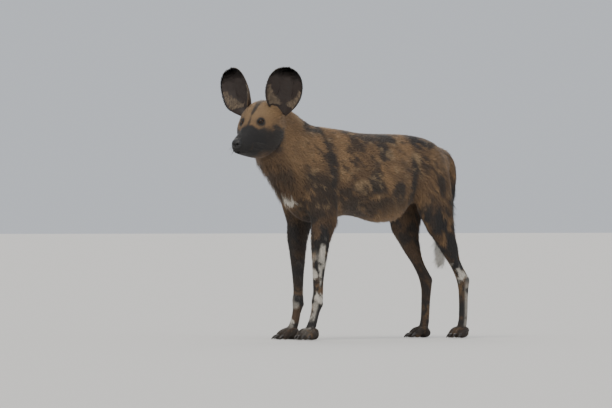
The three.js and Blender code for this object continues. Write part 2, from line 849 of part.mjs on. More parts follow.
// Cuts one leg in four and names the pieces from the top down
function partLeg(leg, cuts, stride, names) {
  let rest = leg;
  cuts.forEach(([point, normal], i) => {
    const [above, below] = split(rest, point.clone().add(vec(stride, 0, 0)), normal);
    node(names[i], above, LEG_COLOURS[i]);
    rest = below;
  });
  node(names[cuts.length], rest, LEG_COLOURS[cuts.length]);
}

// Builds, parts and names every piece
function build() {
  const blockedTrunk = trunk(GAP);
  const bodyParts = [trunk(), inHead(headSkin())];
  const legsGrown = [];
  for (const [word, side] of [["left", LEFT], ["right", RIGHT]]) {
    const foreStride = side * FORE_STRIDE;
    const hindStride = -side * HIND_STRIDE;
    const foreWhole = wasm.Manifold.union(foreleg(side, foreStride)).trimByPlane(UP, 0);
    const hindWhole = wasm.Manifold.union(hindleg(side, hindStride)).trimByPlane(UP, 0);
    bodyParts.push(foreWhole.subtract(region(FORE_REGION, side, GAP)));
    bodyParts.push(hindWhole.subtract(region(HIND_REGION, side, GAP)));
    legsGrown.push(legSkin(FORELEG, side, foreStride, ...FORE_MESH, GAP));
    legsGrown.push(legSkin(HINDLEG, side, hindStride, ...HIND_MESH, GAP));

    const fore = foreWhole.intersect(region(FORE_REGION, side)).subtract(blockedTrunk);
    const hind = hindWhole.intersect(region(HIND_REGION, side)).subtract(blockedTrunk);
    const named = (parts) => parts.map((part) => `${part}_${word}`);
    partLeg(fore, FORE_CUTS, foreStride, named(["fore_upper", "fore_arm", "fore_pastern", "fore_paw"]));
    partLeg(hind, HIND_CUTS, hindStride, named(["hind_thigh", "hind_shank", "hind_cannon", "hind_paw"]));
  }

  // tail
  const rump = wasm.Manifold.union([blockedTrunk, ...legsGrown]);
  const [dock] = split(solid(tube(TAIL, 14)).subtract(rump), ...TAIL_CUT);
  node("tail_dock", dock, COAT);
  node("tail_brush", split(tailBrush(), ...TAIL_CUT)[1], WHITE);

  // neck and trunk, each with the locks rooted on it
  const [front, plainTorso] = split(wasm.Manifold.union(bodyParts), ...NECK_CUT);
  const headCutAt = HEAD_CUT[0].clone().applyMatrix4(headFrame);
  const headAxis = HEAD_CUT[1].clone().transformDirection(headFrame);
  const [headAll, plainNeck] = split(front, headCutAt, headAxis);
  const chest = lockRows(CHEST_ROWS, RUFF_LIE, CHEST_LOCK, 23);
  const torsoLocks = wasm.Manifold.union(chest).subtract(wasm.Manifold.union(legsGrown));
  node("torso", plainTorso.add(split(torsoLocks, ...NECK_CUT)[1]), COAT);
  const ruff = wasm.Manifold.union(lockRows(NECK_ROWS, RUFF_LIE, RUFF_LOCK, 17));
  const ruffHere = split(split(ruff, ...NECK_CUT)[0], headCutAt, headAxis)[1];
  node("neck", plainNeck.add(ruffHere.subtract(inHead(headSkin(GAP)))), COAT);

  // head, nose and eyes
  let head = headAll.add(wasm.Manifold.union([1, -1].map(lidDome)));
  for (const side of [1, -1]) head = head.subtract(eyeball(side, GAP)).subtract(lidOpening(side));
  head = head.subtract(inHead(tube(mouthPath(), 5))).subtract(nosePad(GAP));
  node("head", head, BLACK);
  const nose = nosePad().subtract(nostril(1)).subtract(nostril(-1)).subtract(septum());
  node("nose", nose, DARK, 0.4);
  node("eye_left", eyeball(1), DARK, 0.1);
  node("eye_right", eyeball(-1), DARK, 0.1);

  // ears
  const blocked = wasm.Manifold.union([inHead(headSkin(GAP)), blockedTrunk]);
  const haired = (side) => wasm.Manifold.union([ear(side), ...earHair(side)]).subtract(blocked);
  node("ear_left", haired(1), BLACK);
  node("ear_right", haired(-1), BLACK);
}

build();
animal.position.set(BOX_SHIFT[0], BOX_SHIFT[1], 0);

export default animal;
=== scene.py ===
"""African wild dog, standing: the dressed, life-size model.

The skin is worked out from the same stations as the solids, fused into one surface, and covered
with tufts that follow the lie of the coat. Skin and tufts take their colours from one function of
place, so the patches run on from one to the other. Metres, +Z up, nose towards -X.
"""

import logging
import math
from dataclasses import dataclass, field
from enum import Enum
from itertools import product

import bpy
import numpy as np
from mathutils import Matrix, Vector


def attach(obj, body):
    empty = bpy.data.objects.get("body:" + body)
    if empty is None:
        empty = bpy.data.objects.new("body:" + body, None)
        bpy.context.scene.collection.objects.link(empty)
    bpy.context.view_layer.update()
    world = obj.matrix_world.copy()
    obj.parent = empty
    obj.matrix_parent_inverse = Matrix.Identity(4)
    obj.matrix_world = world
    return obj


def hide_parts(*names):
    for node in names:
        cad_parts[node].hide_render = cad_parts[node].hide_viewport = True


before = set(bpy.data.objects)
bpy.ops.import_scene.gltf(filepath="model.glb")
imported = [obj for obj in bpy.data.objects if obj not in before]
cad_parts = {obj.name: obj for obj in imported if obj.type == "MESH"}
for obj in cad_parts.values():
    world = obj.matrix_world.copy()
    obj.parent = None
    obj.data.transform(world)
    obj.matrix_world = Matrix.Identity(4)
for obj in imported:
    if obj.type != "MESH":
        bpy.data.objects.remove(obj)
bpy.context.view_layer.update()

log = logging.getLogger("african_wild_dog")

Array = np.ndarray
Socket, Thing, Material = bpy.types.NodeSocket, bpy.types.Object, bpy.types.Material

# Driving dimensions, in metres and degrees
ORIGIN = np.array([0.14, 0.027, 0.0])  # from the body's own zero to the frame's
LEFT, RIGHT = -1, 1  # signs of y
HEAD_YAW, HEAD_PITCH = 20.0, 15.0
NOSE_TIP = np.array([-0.646, -0.085, 0.615])
EYE_RADIUS = 0.0115
EYE_AT = np.array([0.124, 0.0285, 0.045])
EYE_TURN = 38.0
EAR_ROOT = np.array([0.206, 0.067, 0.072])
EAR_LENGTH = 0.128
EAR_TURN, EAR_LEAN, EAR_TILT = 13.0, 15.0, 10.0
FORE_STRIDE, HIND_STRIDE = 0.01, 0.024
TOE_OUT = 15.0
SOLE = 0.004
OUTER_TOE_BACK = 0.01
HEEL_WIDER = 1.2
TOE_THICK = 0.012
CLEFT_WIDTH, CLEFT_DEPTH = 0.003, 0.0042
CLAW_TALLER = 1.15
LEG_ROUNDNESS = 2.15
TAIL_SAMPLES = 60
VOXEL = 0.0037
COAT_SHARE = 1.0

# Depth of coat between the solids' surface and the skin
BODY_COAT, HEAD_COAT, LEG_COAT, FOOT_COAT, TAIL_COAT = 0.0065, 0.003, 0.0032, 0.0015, 0.003

# Trunk and neck by upright sections: x, top, bottom, widest level, half width, middle's y,
# roundness above and below
TRUNK = np.array([
    [-0.494, 0.65, 0.59, 0.62, 0.014, -0.028, 2.0, 2.0],
    [-0.486, 0.7, 0.556, 0.64, 0.044, -0.027, 2.0, 2.0],
    [-0.462, 0.741, 0.524, 0.645, 0.067, -0.022, 2.0, 2.0],
    [-0.43, 0.755, 0.492, 0.635, 0.074, -0.017, 2.0, 2.0],
    [-0.395, 0.747, 0.455, 0.618, 0.076, -0.011, 2.0, 2.0],
    [-0.35, 0.729, 0.404, 0.59, 0.078, -0.005, 1.9, 2.1],
    [-0.305, 0.706, 0.378, 0.56, 0.081, 0.0, 1.9, 2.2],
    [-0.258, 0.687, 0.37, 0.535, 0.085, 0.0, 1.9, 2.2],
    [-0.2, 0.68, 0.376, 0.528, 0.089, 0.0, 2.0, 2.2],
    [-0.13, 0.672, 0.391, 0.526, 0.093, 0.0, 2.2, 2.1],
    [-0.06, 0.663, 0.387, 0.52, 0.097, 0.0, 2.3, 2.1],
    [0.02, 0.66, 0.371, 0.512, 0.099, 0.0, 2.3, 2.2],
    [0.08, 0.66, 0.378, 0.52, 0.094, 0.0, 2.3, 2.2],
    [0.13, 0.659, 0.408, 0.54, 0.086, 0.0, 2.3, 2.1],
    [0.18, 0.655, 0.438, 0.556, 0.08, 0.0, 2.3, 2.1],
    [0.23, 0.645, 0.452, 0.56, 0.075, 0.0, 2.3, 2.1],
    [0.275, 0.624, 0.475, 0.552, 0.064, 0.0, 2.2, 2.1],
    [0.305, 0.6, 0.505, 0.548, 0.046, 0.0, 2.1, 2.1],
    [0.321, 0.572, 0.53, 0.55, 0.018, 0.0, 2.0, 2.0],
])

# Head by sections across it: back from the nose tip, top, bottom, widest level, half width,
# roundness above and below
HEAD = np.array([
    [0.002, 0.009, -0.022, -0.006, 0.013, 2.2, 2.0],
    [0.006, 0.015, -0.029, -0.008, 0.021, 2.3, 2.1],
    [0.014, 0.02, -0.035, -0.01, 0.026, 2.4, 2.2],
    [0.028, 0.024, -0.041, -0.012, 0.03, 2.5, 2.3],
    [0.046, 0.028, -0.049, -0.014, 0.033, 2.5, 2.3],
    [0.066, 0.033, -0.057, -0.015, 0.037, 2.4, 2.3],
    [0.082, 0.039, -0.063, -0.015, 0.042, 2.2, 2.3],
    [0.098, 0.049, -0.069, -0.012, 0.049, 2.1, 2.2],
    [0.113, 0.061, -0.074, -0.007, 0.057, 2.0, 2.1],
    [0.13, 0.074, -0.078, -0.002, 0.065, 2.0, 2.1],
    [0.148, 0.084, -0.081, 0.003, 0.071, 2.0, 2.0],
    [0.168, 0.092, -0.084, 0.006, 0.074, 2.0, 2.0],
    [0.188, 0.096, -0.086, 0.009, 0.074, 2.0, 2.0],
    [0.208, 0.095, -0.084, 0.012, 0.072, 2.0, 2.0],
    [0.228, 0.088, -0.076, 0.014, 0.066, 2.0, 2.0],
    [0.246, 0.074, -0.06, 0.015, 0.054, 2.0, 2.0],
    [0.256, 0.05, -0.032, 0.014, 0.03, 2.0, 2.0],
])

# Swellings and hollows of the head: back, out, up, reach, height
HEAD_FORMS = np.array([
    [0.112, 0.036, 0.046, 0.015, -0.0025],  # eye socket
    [0.11, 0.028, 0.062, 0.014, 0.003],  # brow
    [0.126, 0.056, 0.022, 0.022, 0.003],  # cheek bone
    [0.09, 0.027, 0.028, 0.013, -0.0025],  # hollow before the eye
    [0.038, 0.03, -0.014, 0.018, 0.002],  # upper lip
    [0.1, 0.034, 0.03, 0.007, -0.0012],  # fold under the inner corner
    [0.07, 0.0, 0.04, 0.012, -0.001],  # furrow down the bridge
    [0.135, 0.0, 0.08, 0.016, -0.0016],  # furrow of the forehead
    [0.15, 0.05, 0.07, 0.022, 0.002],  # temple muscle
])

# Legs by level sections: z, x, distance out from the middle, half length, half width, share of
# the stride
FORELEG = np.array([
    [0.03, -0.298, 0.054, 0.019, 0.019, 1.0],
    [0.042, -0.292, 0.054, 0.019, 0.018, 1.0],
    [0.06, -0.284, 0.054, 0.017, 0.0165, 1.0],
    [0.085, -0.276, 0.055, 0.017, 0.0155, 1.0],
    [0.106, -0.27, 0.056, 0.0195, 0.018, 1.0],
    [0.124, -0.268, 0.057, 0.0205, 0.019, 1.0],
    [0.148, -0.266, 0.058, 0.0195, 0.017, 1.0],
    [0.19, -0.266, 0.059, 0.022, 0.017, 1.0],
    [0.25, -0.265, 0.061, 0.028, 0.0205, 0.9],
    [0.31, -0.263, 0.063, 0.035, 0.0245, 0.8],
    [0.345, -0.257, 0.064, 0.042, 0.027, 0.7],
    [0.373, -0.253, 0.064, 0.048, 0.029, 0.6],
    [0.41, -0.26, 0.062, 0.056, 0.033, 0.4],
    [0.46, -0.268, 0.056, 0.068, 0.036, 0.2],
    [0.52, -0.262, 0.051, 0.07, 0.037, 0.1],
    [0.58, -0.246, 0.044, 0.06, 0.034, 0.0],
    [0.628, -0.23, 0.036, 0.04, 0.025, 0.0],
    [0.652, -0.224, 0.03, 0.014, 0.01, 0.0],
])
HINDLEG = np.array([
    [0.028, 0.314, 0.064, 0.019, 0.018, 1.0],
    [0.042, 0.319, 0.064, 0.0185, 0.017, 1.0],
    [0.062, 0.323, 0.064, 0.0175, 0.0155, 1.0],
    [0.09, 0.325, 0.064, 0.018, 0.015, 1.0],
    [0.125, 0.326, 0.063, 0.019, 0.015, 1.0],
    [0.155, 0.327, 0.062, 0.021, 0.016, 1.0],
    [0.181, 0.325, 0.062, 0.025, 0.0175, 1.0],
    [0.205, 0.315, 0.062, 0.026, 0.017, 1.0],
    [0.23, 0.298, 0.062, 0.025, 0.0175, 1.0],
    [0.26, 0.278, 0.062, 0.0275, 0.02, 1.0],
    [0.295, 0.257, 0.062, 0.035, 0.0245, 1.0],
    [0.33, 0.24, 0.061, 0.046, 0.028, 0.95],
    [0.365, 0.227, 0.06, 0.058, 0.031, 0.8],
    [0.402, 0.22, 0.057, 0.069, 0.034, 0.55],
    [0.44, 0.218, 0.054, 0.076, 0.0365, 0.35],
    [0.49, 0.214, 0.052, 0.082, 0.038, 0.15],
    [0.54, 0.21, 0.049, 0.078, 0.038, 0.0],
    [0.59, 0.207, 0.044, 0.06, 0.034, 0.0],
    [0.622, 0.206, 0.038, 0.034, 0.022, 0.0],
    [0.634, 0.206, 0.034, 0.012, 0.008, 0.0],
])

# The tail's middle line and half thickness
TAIL = np.array([
    [0.262, 0.0, 0.59, 0.03],
    [0.3, 0.0, 0.588, 0.029],
    [0.334, 0.001, 0.566, 0.026],
    [0.35, 0.002, 0.53, 0.023],
    [0.351, 0.003, 0.49, 0.02],
    [0.346, 0.005, 0.44, 0.017],
    [0.339, 0.006, 0.39, 0.0165],
    [0.331, 0.008, 0.34, 0.016],
    [0.323, 0.01, 0.29, 0.012],
    [0.316, 0.012, 0.25, 0.0045],
])

# Relief of muscle and bone under the body's skin: x, out, z, reach, height
BODY_FORMS = np.array([
    [-0.236, 0.07, 0.585, 0.03, 0.0035],  # back edge of the shoulder blade's muscle
    [-0.205, 0.08, 0.52, 0.026, -0.004],  # hollow behind the shoulder
    [-0.33, 0.07, 0.52, 0.032, 0.0035],  # point of the shoulder
    [-0.215, 0.072, 0.425, 0.03, 0.0035],  # triceps
    [-0.36, 0.07, 0.6, 0.034, -0.003],  # hollow of the neck before the shoulder
    [0.12, 0.085, 0.56, 0.04, -0.0055],  # hollow of the flank
    [0.17, 0.06, 0.64, 0.022, 0.004],  # point of the hip
    [0.29, 0.04, 0.56, 0.02, 0.003],  # seat bone
    [0.19, 0.09, 0.48, 0.04, 0.003],  # thigh muscle
    [0.262, 0.075, 0.43, 0.028, 0.003],  # hamstrings
])


def ease(value: Array, low: float, high: float) -> Array:
    """Gives 0 below low, 1 above high and 3t^2 - 2t^3 between them."""
    t = np.clip((value - low) / (high - low), 0.0, 1.0)
    return t * t * (3.0 - 2.0 * t)


def unit(vectors: Array) -> Array:
    """Scales each vector of the last axis to length 1."""
    return vectors / np.maximum(np.linalg.norm(vectors, axis=-1, keepdims=True), 1e-12)


def along(rows: Array, keys: Array) -> Array:
    """Reads a table of stations at any key, by a cubic through each pair of rows.

    The slope at a row is the chord between its neighbours, and between two rows each column is
    the Hermite cubic that meets both rows' values and slopes.

    Args:
        rows: Stations with the key in column 0.
        keys: Where to read the table.

    Returns:
        One row of the other columns for each key.
    """
    keys = np.asarray(keys, float)
    index = np.clip(np.searchsorted(rows[:, 0], keys, side="right") - 1, 0, len(rows) - 2)
    before = np.maximum(np.arange(len(rows)) - 1, 0)
    after = np.minimum(np.arange(len(rows)) + 1, len(rows) - 1)
    slopes = (rows[after, 1:] - rows[before, 1:]) / (rows[after, :1] - rows[before, :1])
    span = (rows[index + 1, 0] - rows[index, 0])[:, None]
    t = np.clip((keys[:, None] - rows[index, :1]) / span, 0.0, 1.0)
    t2, t3 = t * t, t * t * t
    return (
        (2 * t3 - 3 * t2 + 1) * rows[index, 1:]
        + (t3 - 2 * t2 + t) * span * slopes[index]
        + (3 * t2 - 2 * t3) * rows[index + 1, 1:]
        + (t3 - t2) * span * slopes[index + 1]
    )


def power(value: Array, roundness: Array) -> Array:
    """Raises to 2 / roundness with the sign kept, the term of a squared or pointed oval."""
    return np.sign(value) * np.abs(value) ** (2.0 / roundness)


def turn(axis: str, degrees: float) -> Array:
    """Gives the 3 by 3 matrix that turns about a named axis."""
    return np.array(Matrix.Rotation(math.radians(degrees), 3, axis))


def value_noise(points: Array, cell: float, seed: int) -> Array:
    """Gives smooth noise from -1 to 1: random numbers at a lattice's corners, eased between.

    Each corner's number comes from mixing its three whole coordinates with the seed, and a point
    takes the three-way eased mean of its cell's eight corners.

    Args:
        points: Places, one row each.
        cell: Lattice spacing in metres.
        seed: Picks the pattern.

    Returns:
        One number for each place.
    """
    scaled = points / cell
    base = np.floor(scaled).astype(np.int64)
    t = scaled - base
    t = t * t * (3.0 - 2.0 * t)
    total = np.zeros(len(points))
    for corner in range(8):
        step = np.array([corner & 1, corner >> 1 & 1, corner >> 2 & 1])
        at = base + step
        mixed = at[:, 0] * 374761393 + at[:, 1] * 668265263 + at[:, 2] * 2147483647 + seed * 974711
        mixed = (mixed ^ (mixed >> 13)) * 1274126177
        mixed = (mixed ^ (mixed >> 16)) & 0xFFFFFF
        share = np.prod(np.where(step == 1, t, 1.0 - t), axis=1)
        total += share * (mixed / 0x7FFFFF - 1.0)
    return total


def rough_noise(points: Array, cell: float, seed: int, octaves: int = 3) -> Array:
    """Sums value noise at halving cells and weights, about -1 to 1.

    Args:
        points: Places, one row each.
        cell: The widest lattice spacing in metres.
        seed: Picks the pattern.
        octaves: How many cell sizes are summed.

    Returns:
        One number for each place.
    """
    total = np.zeros(len(points))
    for k in range(octaves):
        total += value_noise(points, cell / 2**k, seed + 31 * k) / 2**k
    return total / (2.0 - 0.5 ** (octaves - 1))


def blend(first: Array, second: Array, share: Array) -> Array:
    """Mixes two sets of rows by a share of the second for each row."""
    return first * (1 - share[:, None]) + second * share[:, None]


def around(sides: int) -> Array:
    """Gives even angles round a circle, in radians."""
    return np.arange(sides) / sides * 2 * np.pi


@dataclass
class Shell:
    """A mesh as arrays: corners and faces, which may be triangles and quads."""

    points: Array
    quads: Array = field(default_factory=lambda: np.zeros((0, 4), int))
    tris: Array = field(default_factory=lambda: np.zeros((0, 3), int))

    def put(self, name: str) -> Thing:
        """Makes a Blender object at the frame's origin from the arrays.

        Args:
            name: The object's name.

        Returns:
            The object, smooth shaded, linked into the scene.
        """
        mesh = bpy.data.meshes.new(name)
        count = len(self.quads) + len(self.tris)
        corners = np.concatenate([self.quads.ravel(), self.tris.ravel()]).astype(np.int32)
        sizes = np.concatenate([np.full(len(self.quads), 4), np.full(len(self.tris), 3)])
        starts = np.concatenate([[0], np.cumsum(sizes)[:-1]]).astype(np.int32)
        mesh.vertices.add(len(self.points))
        mesh.vertices.foreach_set("co", (self.points + ORIGIN).astype(np.float32).ravel())
        mesh.loops.add(len(corners))
        mesh.loops.foreach_set("vertex_index", corners)
        mesh.polygons.add(count)
        mesh.polygons.foreach_set("loop_start", starts)
        mesh.update(calc_edges=True)
        mesh.validate()
        mesh.shade_smooth()
        thing = bpy.data.objects.new(name, mesh)
        bpy.context.scene.collection.objects.link(thing)
        return thing


def join(shells: list[Shell]) -> Shell:
    """Puts several shells in one, without welding them.

    Args:
        shells: The shells.

    Returns:
        One shell with all their corners and faces.
    """
    offsets = np.cumsum([0] + [len(s.points) for s in shells[:-1]])
    return Shell(
        np.vstack([s.points for s in shells]),
        np.vstack([s.quads + o for s, o in zip(shells, offsets)]),
        np.vstack([s.tris + o for s, o in zip(shells, offsets)]),
    )


def loft(rings: Array) -> Shell:
    """Closes a grid of rings into a shell, with a fan at each end, facing outwards.

    Args:
        rings: Points as rings by sides by 3.

    Returns:
        The closed shell.
    """
    count, sides = rings.shape[:2]
    ids = np.arange(count * sides).reshape(count, sides)
    following = np.roll(ids, -1, axis=1)
    quads = np.stack([ids[:-1], following[:-1], following[1:], ids[1:]], -1).reshape(-1, 4)
    ends = np.array([rings[0].mean(0), rings[-1].mean(0)])
    points = np.vstack([rings.reshape(-1, 3), ends])
    first, last = count * sides, count * sides + 1
    tris = np.vstack([
        np.stack([np.full(sides, first), following[0], ids[0]], -1),
        np.stack([np.full(sides, last), ids[-1], following[-1]], -1),
    ])
    shell = Shell(points, quads, tris)
    return shell if enclosed(shell) > 0 else flipped(shell)


def triangles(shell: Shell) -> Array:
    """Gives all faces as triangles, quads split along one diagonal."""
    q = shell.quads
    return np.vstack([shell.tris, q[:, [0, 1, 2]], q[:, [0, 2, 3]]])


def enclosed(shell: Shell) -> float:
    """Sums the signed volume under the faces."""
    a, b, c = (shell.points[triangles(shell)[:, k]] for k in range(3))
    return float(np.einsum("ij,ij->i", a, np.cross(b, c)).sum() / 6.0)


def flipped(shell: Shell) -> Shell:
    """Turns every face round."""
    return Shell(shell.points, shell.quads[:, ::-1], shell.tris[:, ::-1])


def normals_of(points: Array, tris: Array) -> Array:
    """Sums the faces' area normals at each corner and scales them to 1.

    Args:
        points: Corners.
        tris: Triangles.

    Returns:
        One unit normal for each corner.
    """
    a, b, c = (points[tris[:, k]] for k in range(3))
    face = np.cross(b - a, c - a)
    total = np.zeros_like(points)
    for axis in range(3):
        for k in range(3):
            total[:, axis] += np.bincount(tris[:, k], face[:, axis], len(points))
    return unit(total)


def spine(path: Array, count: int) -> tuple[Array, Array]:
    """Runs a smooth curve through points, by the length between them.

    Args:
        path: Points with a half thickness in the last column.
        count: How many samples to take.

    Returns:
        The samples' rows and their unit directions.
    """
    gaps = np.linalg.norm(np.diff(path[:, :3], axis=0), axis=1)
    rows = np.column_stack([np.concatenate([[0], np.cumsum(gaps)]), path])
    keys = np.linspace(0, rows[-1, 0], count)
    samples = along(rows, keys)
    ahead = along(rows, np.minimum(keys + 1e-4, rows[-1, 0])) - along(rows, np.maximum(keys - 1e-4, 0))
    return samples, unit(ahead[:, :3])


def tube(path: Array, sides: int, count: int, grow: float = 0.0, squash: float = 1.0) -> Shell:
    """Carries an oval along a path: the circle's cosine lies across, its sine upwards.

    Args:
        path: Points with a half thickness in the last column.
        sides: Points round the oval.
        count: Ovals along the path.
        grow: Added to every half thickness.
        squash: Upward size over sideways size.

    Returns:
        The closed tube.
    """
    samples, forward = spine(path, count)
    across = unit(np.array([0.0, 1.0, 0.0]) - forward * forward[:, 1:2])
    up = np.cross(forward, across)
    angle = around(sides)
    radius = np.maximum(samples[:, 3] + grow, 0.0004)[:, None, None]
    rings = samples[:, None, :3] + radius * (
        across[:, None] * np.cos(angle)[None, :, None]
        + up[:, None] * (squash * np.sin(angle))[None, :, None]
    )
    return loft(rings)


class HeadFrame:
    """The head's own frame: back from the nose tip, out to the animal's left, up."""

    turned: Array = turn("Z", HEAD_YAW) @ turn("Y", -HEAD_PITCH) @ np.diag([1.0, -1.0, 1.0])

    @classmethod
    def out(cls, points: Array) -> Array:
        """Takes head places to the body's frame."""
        return points @ cls.turned.T + NOSE_TIP

    @classmethod
    def into(cls, points: Array) -> Array:
        """Takes body places to the head's frame."""
        return (points - NOSE_TIP) @ cls.turned

    @classmethod
    def turn_out(cls, vectors: Array) -> Array:
        """Takes head directions to the body's frame."""
        return vectors @ cls.turned.T


def section(rows: Array, x: Array, angle: Array, grow: float) -> tuple[Array, Array, Array]:
    """Gives a squared oval section: cosine term sideways, sine term up or down from its level.

    Args:
        rows: Stations of top, bottom, widest level, half width and, last, two roundnesses.
        x: The stations' keys.
        angle: Angles round, 90 degrees at the top.
        grow: Added to each half size.

    Returns:
        Sideways offset, level and half width, as keys by angles.
    """
    at = along(rows, x)
    top, bottom, level, half = (at[:, k][:, None] for k in range(4))
    c, s = np.cos(angle)[None], np.sin(angle)[None]
    roundness = np.where(s > 0, at[:, -2][:, None], at[:, -1][:, None])
    reach = np.where(s > 0, top - level, level - bottom)
    return (
        np.maximum(half + grow, 0.002) * power(c, roundness),
        level + np.maximum(reach + grow, 0.002) * power(s, roundness),
        half,
    )


RUFF_CORE = 0.013  # the throat's skin lies this far inside its hair


def trunk_shell(grow: float) -> Shell:
    """Builds the trunk and neck as squared ovals at steps of x, its throat drawn in.

    Args:
        grow: Added to every half size; below 0 it draws the skin in under the coat.

    Returns:
        The closed trunk.
    """
    x = np.arange(TRUNK[0, 0], TRUNK[-1, 0] + 1e-9, 0.006)
    angle = around(72)
    side, level, _ = section(TRUNK, x, angle, grow)
    throat = ease(x, -0.5, -0.44) * (1 - ease(x, -0.34, -0.27))
    level = level + RUFF_CORE * throat[:, None] * np.clip(-np.sin(angle), 0, 1)[None] ** 2
    middle = along(TRUNK, x)[:, 4][:, None]
    return loft(np.stack([np.broadcast_to(x[:, None], side.shape), middle + side, level], -1))


def head_shell(grow: float) -> Shell:
    """Builds the head as squared ovals, swelled and hollowed by Gaussian bumps at its forms.

    Args:
        grow: Added to every half size.

    Returns:
        The closed head, in the body's frame.
    """
    tip = HEAD[0, 0] + np.arange(0, 0.012, 0.0015)
    x = np.concatenate([tip, np.arange(0.014, HEAD[-1, 0] + 1e-9, 0.003)])
    angle = around(96)
    side, level, half = section(HEAD, x, angle, grow)
    rings = np.stack([np.broadcast_to(x[:, None], side.shape), side, level], -1)
    outward = unit(np.stack([
        np.zeros_like(side),
        np.cos(angle)[None] / np.maximum(half, 0.01),
        np.sin(angle)[None] / np.maximum(half * 1.2, 0.01),
    ], -1))
    push = bumps(folded(rings.reshape(-1, 3)), HEAD_FORMS).reshape(side.shape)
    swollen = (rings + outward * push[..., None]).reshape(-1, 3)
    return loft(HeadFrame.out(swollen).reshape(rings.shape))


def folded(points: Array) -> Array:
    """Copies places with their y made positive, so that one form serves both sides."""
    return np.column_stack([points[:, 0], np.abs(points[:, 1]), points[:, 2]])


def bumps(points: Array, forms: Array) -> Array:
    """Sums height times exp(-(distance / reach)^2) over rows of place, reach and height.

    Args:
        points: Places, one row each.
        forms: Rows of x, y, z, reach and height.

    Returns:
        The push along the normal at each place.
    """
    total = np.zeros(len(points))
    for x, y, z, reach, height in forms:
        far = np.linalg.norm(points - np.array([x, y, z]), axis=1) / reach
        total += height * np.exp(-far * far)
    return total


@dataclass
class Foot:
    """One foot: its knuckles and heel pad, four toes and four claws, toes towards +x."""

    place: Array
    heading: float
    reach: float
    spread: float
    scale: float

    def world(self, points: Array) -> Array:
        """Takes the foot's own places to the body's frame."""
        return points @ turn("Z", self.heading).T + self.place

    def toe_rows(self) -> list[tuple[float, float, float]]:
        """Lists the four toes, the outer two set back.

        Returns:
            Each toe's place across, its reach forward and its splay.
        """
        rows = []
        for toe in (-1.5, -0.5, 0.5, 1.5):
            y = toe * self.spread
            rows.append((y, self.reach - (OUTER_TOE_BACK if abs(toe) > 1 else 0.0), y * 0.1))
        return rows

    def shells(self) -> list[Shell]:
        """Builds the knuckles, heel and toes as tubes, flattened at the floor.

        Returns:
            Five shells in the body's frame, the heel first.
        """
        k, r = self.scale, self.reach
        heel = np.array([
            [-0.018, 0, 0.018, 0.009 * k], [-0.008, 0, 0.02, 0.018 * k],
            [0.006, 0, 0.023, 0.022 * k], [0.02 + r, 0, 0.025, 0.0225 * k],
            [0.037 + r, 0, 0.021, 0.012 * k],
        ])
        shells = [tube(heel, 24, 16, -FOOT_COAT)]
        shells[0].points[:, 1] *= HEEL_WIDER
        for y, ahead, splay in self.toe_rows():
            thick = TOE_THICK * k
            path = np.array([
                [0.013 + ahead, y * 0.78, 0.029, thick * 0.8],
                [0.026 + ahead, y * 0.9, 0.032, thick],
                [0.041 + ahead, y, 0.026, thick * 1.05],
                [0.054 + ahead, y + splay, 0.014, thick],
                [0.064 + ahead, y + splay, 0.01, thick * 0.5],
            ])
            shells.append(tube(path, 18, 16, -FOOT_COAT))
        for shell in shells:
            shell.points[:, 2] = np.maximum(shell.points[:, 2] - SOLE, 0.0012)
            shell.points = self.world(shell.points)
        return shells

    def clefts(self, points: Array) -> Array:
        """Gives how deep the skin folds in between the toes: a narrow valley along each gap.

        Args:
            points: Places on the skin.

        Returns:
            The push along the normal, 0 or below.
        """
        own = (points - self.place) @ turn("Z", self.heading)
        length = ease(own[:, 0], 0.02 + self.reach, 0.04 + self.reach)
        near_foot = (np.abs(own[:, 1]) < 0.05) & (np.abs(own[:, 0]) < 0.12) & (points[:, 2] < 0.06)
        depth = np.zeros(len(points))
        for gap in (-1.0, 0.0, 1.0):
            off = own[:, 1] - 1.06 * gap * self.spread
            depth += np.exp(-((off / CLEFT_WIDTH) ** 2))
        return -CLEFT_DEPTH * depth * length * near_foot

    def claws(self) -> list[Shell]:
        """Builds four claws, each a tapering tube that curves down to the floor.

        Returns:
            The claws in the body's frame.
        """
        shells = []
        for y, ahead, splay in self.toe_rows():
            path = np.array([
                [0.056 + ahead, y + splay, 0.0155, 0.004],
                [0.064 + ahead, y + splay * 1.1, 0.015, 0.0039],
                [0.071 + ahead, y + splay * 1.2, 0.0115, 0.0029],
                [0.0765 + ahead, y + splay * 1.4, 0.0068, 0.0014],
                [0.078 + ahead, y + splay * 1.5, 0.0048, 0.0005],
            ])
            shell = tube(path, 12, 14, 0.0, CLAW_TALLER)
            shell.points[:, 2] = np.maximum(shell.points[:, 2] - SOLE + 0.001, 0.0004)
            shell.points = self.world(shell.points)
            shells.append(shell)
        return shells


# Knobs of the legs: level, ahead and outward as shares of the half sizes, reach, height
FORE_KNOBS = (
    (0.374, 0.9, 0.0, 0.016, 0.006), (0.112, 1.0, 0.0, 0.01, 0.0055),
    (0.128, -0.8, 0.0, 0.016, 0.0015), (0.33, -0.6, 0.6, 0.03, 0.0025),
)
HIND_KNOBS = (
    (0.19, 0.9, 0.0, 0.012, 0.004), (0.345, -0.9, 0.1, 0.022, 0.0035),
    (0.29, 0.6, 0.5, 0.03, 0.003), (0.178, 0.0, 0.9, 0.012, 0.0018),
)


